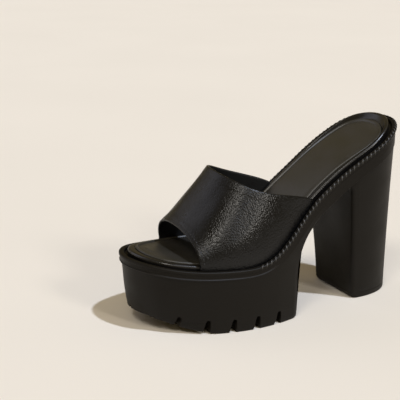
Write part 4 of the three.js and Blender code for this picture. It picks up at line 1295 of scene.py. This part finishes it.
FOOT_AXIS_UP = 8.0       # the foot's middle, over the seat
band_low, band_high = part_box("upper_band")
axis_x = (band_low[0] + band_high[0]) / 2
centres = face_values(band, "center")
station_of = (centres[:, 1] - last_to_frame[1]) / MM
axis_z = (seat(station_of) + FOOT_AXIS_UP) * MM
inward = np.stack([axis_x - centres[:, 0], 0 * station_of, axis_z - centres[:, 2]], -1)
is_lining = (face_values(band, "normal") * inward).sum(1) > 0
band.data.polygons.foreach_set("material_index", is_lining.astype(np.int32))
print("lining faces of the band:", int(is_lining.sum()), "of", len(is_lining))

# %% [markdown]
# ## Camera
# A product view from the outer front quarter, low and with a long lens, so that upright lines
# stay upright.

# %% Camera
CAMERA_AZIMUTH = 62.895      # degrees from the toe's side round to the outer side
CAMERA_ELEVATION = 15.524
CAMERA_ROLL = 0.346
CAMERA_DISTANCE = 0.70734
CAMERA_AIM = Vector((0.01171, -0.05909, 0.09089))
SENSOR = 36.0
LENS = 90.24


def toward(azimuth, elevation):
    """Direction from the shoe: azimuth from the toe's side round to the outer side."""
    turn, rise = math.radians(azimuth), math.radians(elevation)
    return Vector((math.sin(turn) * math.cos(rise), -math.cos(turn) * math.cos(rise),
                   math.sin(rise)))


backward = toward(CAMERA_AZIMUTH, CAMERA_ELEVATION)
camera_data = bpy.data.cameras.new("product_camera")
camera_data.sensor_width = SENSOR
camera_data.lens = LENS
camera_data.clip_start = 0.01
camera = new_object("product_camera", camera_data)
turned = backward.to_track_quat("Z", "Y").to_matrix().to_4x4()
camera.matrix_world = (Matrix.Translation(CAMERA_AIM + backward * CAMERA_DISTANCE) @ turned
                       @ Matrix.Rotation(math.radians(CAMERA_ROLL), 4, "Z"))
bpy.context.scene.camera = camera
print("camera at, m:", [round(v, 3) for v in camera.matrix_world.translation])


# %% [markdown]
# ## Floor and light
# A plain pale floor runs far behind the shoe, so it fills the view. A small key light stands
# high behind the outer side and gives the crisp shadow. Three softboxes stand in an arc from
# the toe round the outer side, and together draw the broad broken highlight over the band. A
# cool fill models the toe's inner side, a faint one the back, and warm surroundings colour
# the shadows. All of them are far away, so the floor is lit evenly.

# %% Floor
FLOOR_HALF = 8.0
corners = [(x * FLOOR_HALF, y * FLOOR_HALF, 0) for x, y in ((-1, -1), (1, -1), (1, 1), (-1, 1))]
floor_mesh = bpy.data.meshes.new("studio_floor")
floor_mesh.from_pydata(corners, [], [(0, 1, 2, 3)])
floor = new_object("studio_floor", floor_mesh)
floor_paint, floor_tree, floor_where = new_material("painted_floor_matte")
floor_cloud = add_node(floor_tree, "ShaderNodeTexNoise", {"Scale": 3.0}, Vector=floor_where)
floor_colour = add_node(floor_tree, "ShaderNodeValToRGB",
                        {"stops": [(0.3, "#e4dccf"), (0.7, "#e6ded1")]},
                        Fac=floor_cloud.outputs["Fac"])
finish_material(floor_tree, {"Roughness": 0.9, "Specular IOR Level": 0.0},
                Base_Color=floor_colour.outputs["Color"])
floor_mesh.materials.append(floor_paint)


# %% Lights
LIGHTS = (
    # name, azimuth and elevation towards it, width in degrees, strength, colour
    ("key_light", 120.6, 62.9, 2.5, 2.33, "#dfeaff"),
    ("front_softbox", 41, 54, 15, 0.72, "#fffaf2"),
    ("middle_softbox", 68, 44, 24, 0.14, "#fffaf2"),
    ("side_softbox", 107, 29, 12, 0.74, "#fffaf2"),
    ("toe_side_fill", -50, 32, 44, 0.36, "#e6eaff"),
    ("back_light", 175, 30, 40, 0.08, "#fff4e0"),
)
for name, azimuth, elevation, width, strength, colour in LIGHTS:
    data = bpy.data.lights.new(name, "SUN")
    data.angle = math.radians(width)
    data.energy = strength
    data.color = linear(colour)[:3]
    lamp = new_object(name, data)
    lamp.rotation_euler = toward(azimuth, elevation).to_track_quat("Z", "Y").to_euler()

world = bpy.data.worlds.new("warm_surroundings")
world.use_nodes = True
background = world.node_tree.nodes["Background"].inputs
background["Color"].default_value = linear("#7c6e4c")
background["Strength"].default_value = 1.0
bpy.context.scene.world = world
bpy.context.scene.view_settings.view_transform = "Standard"
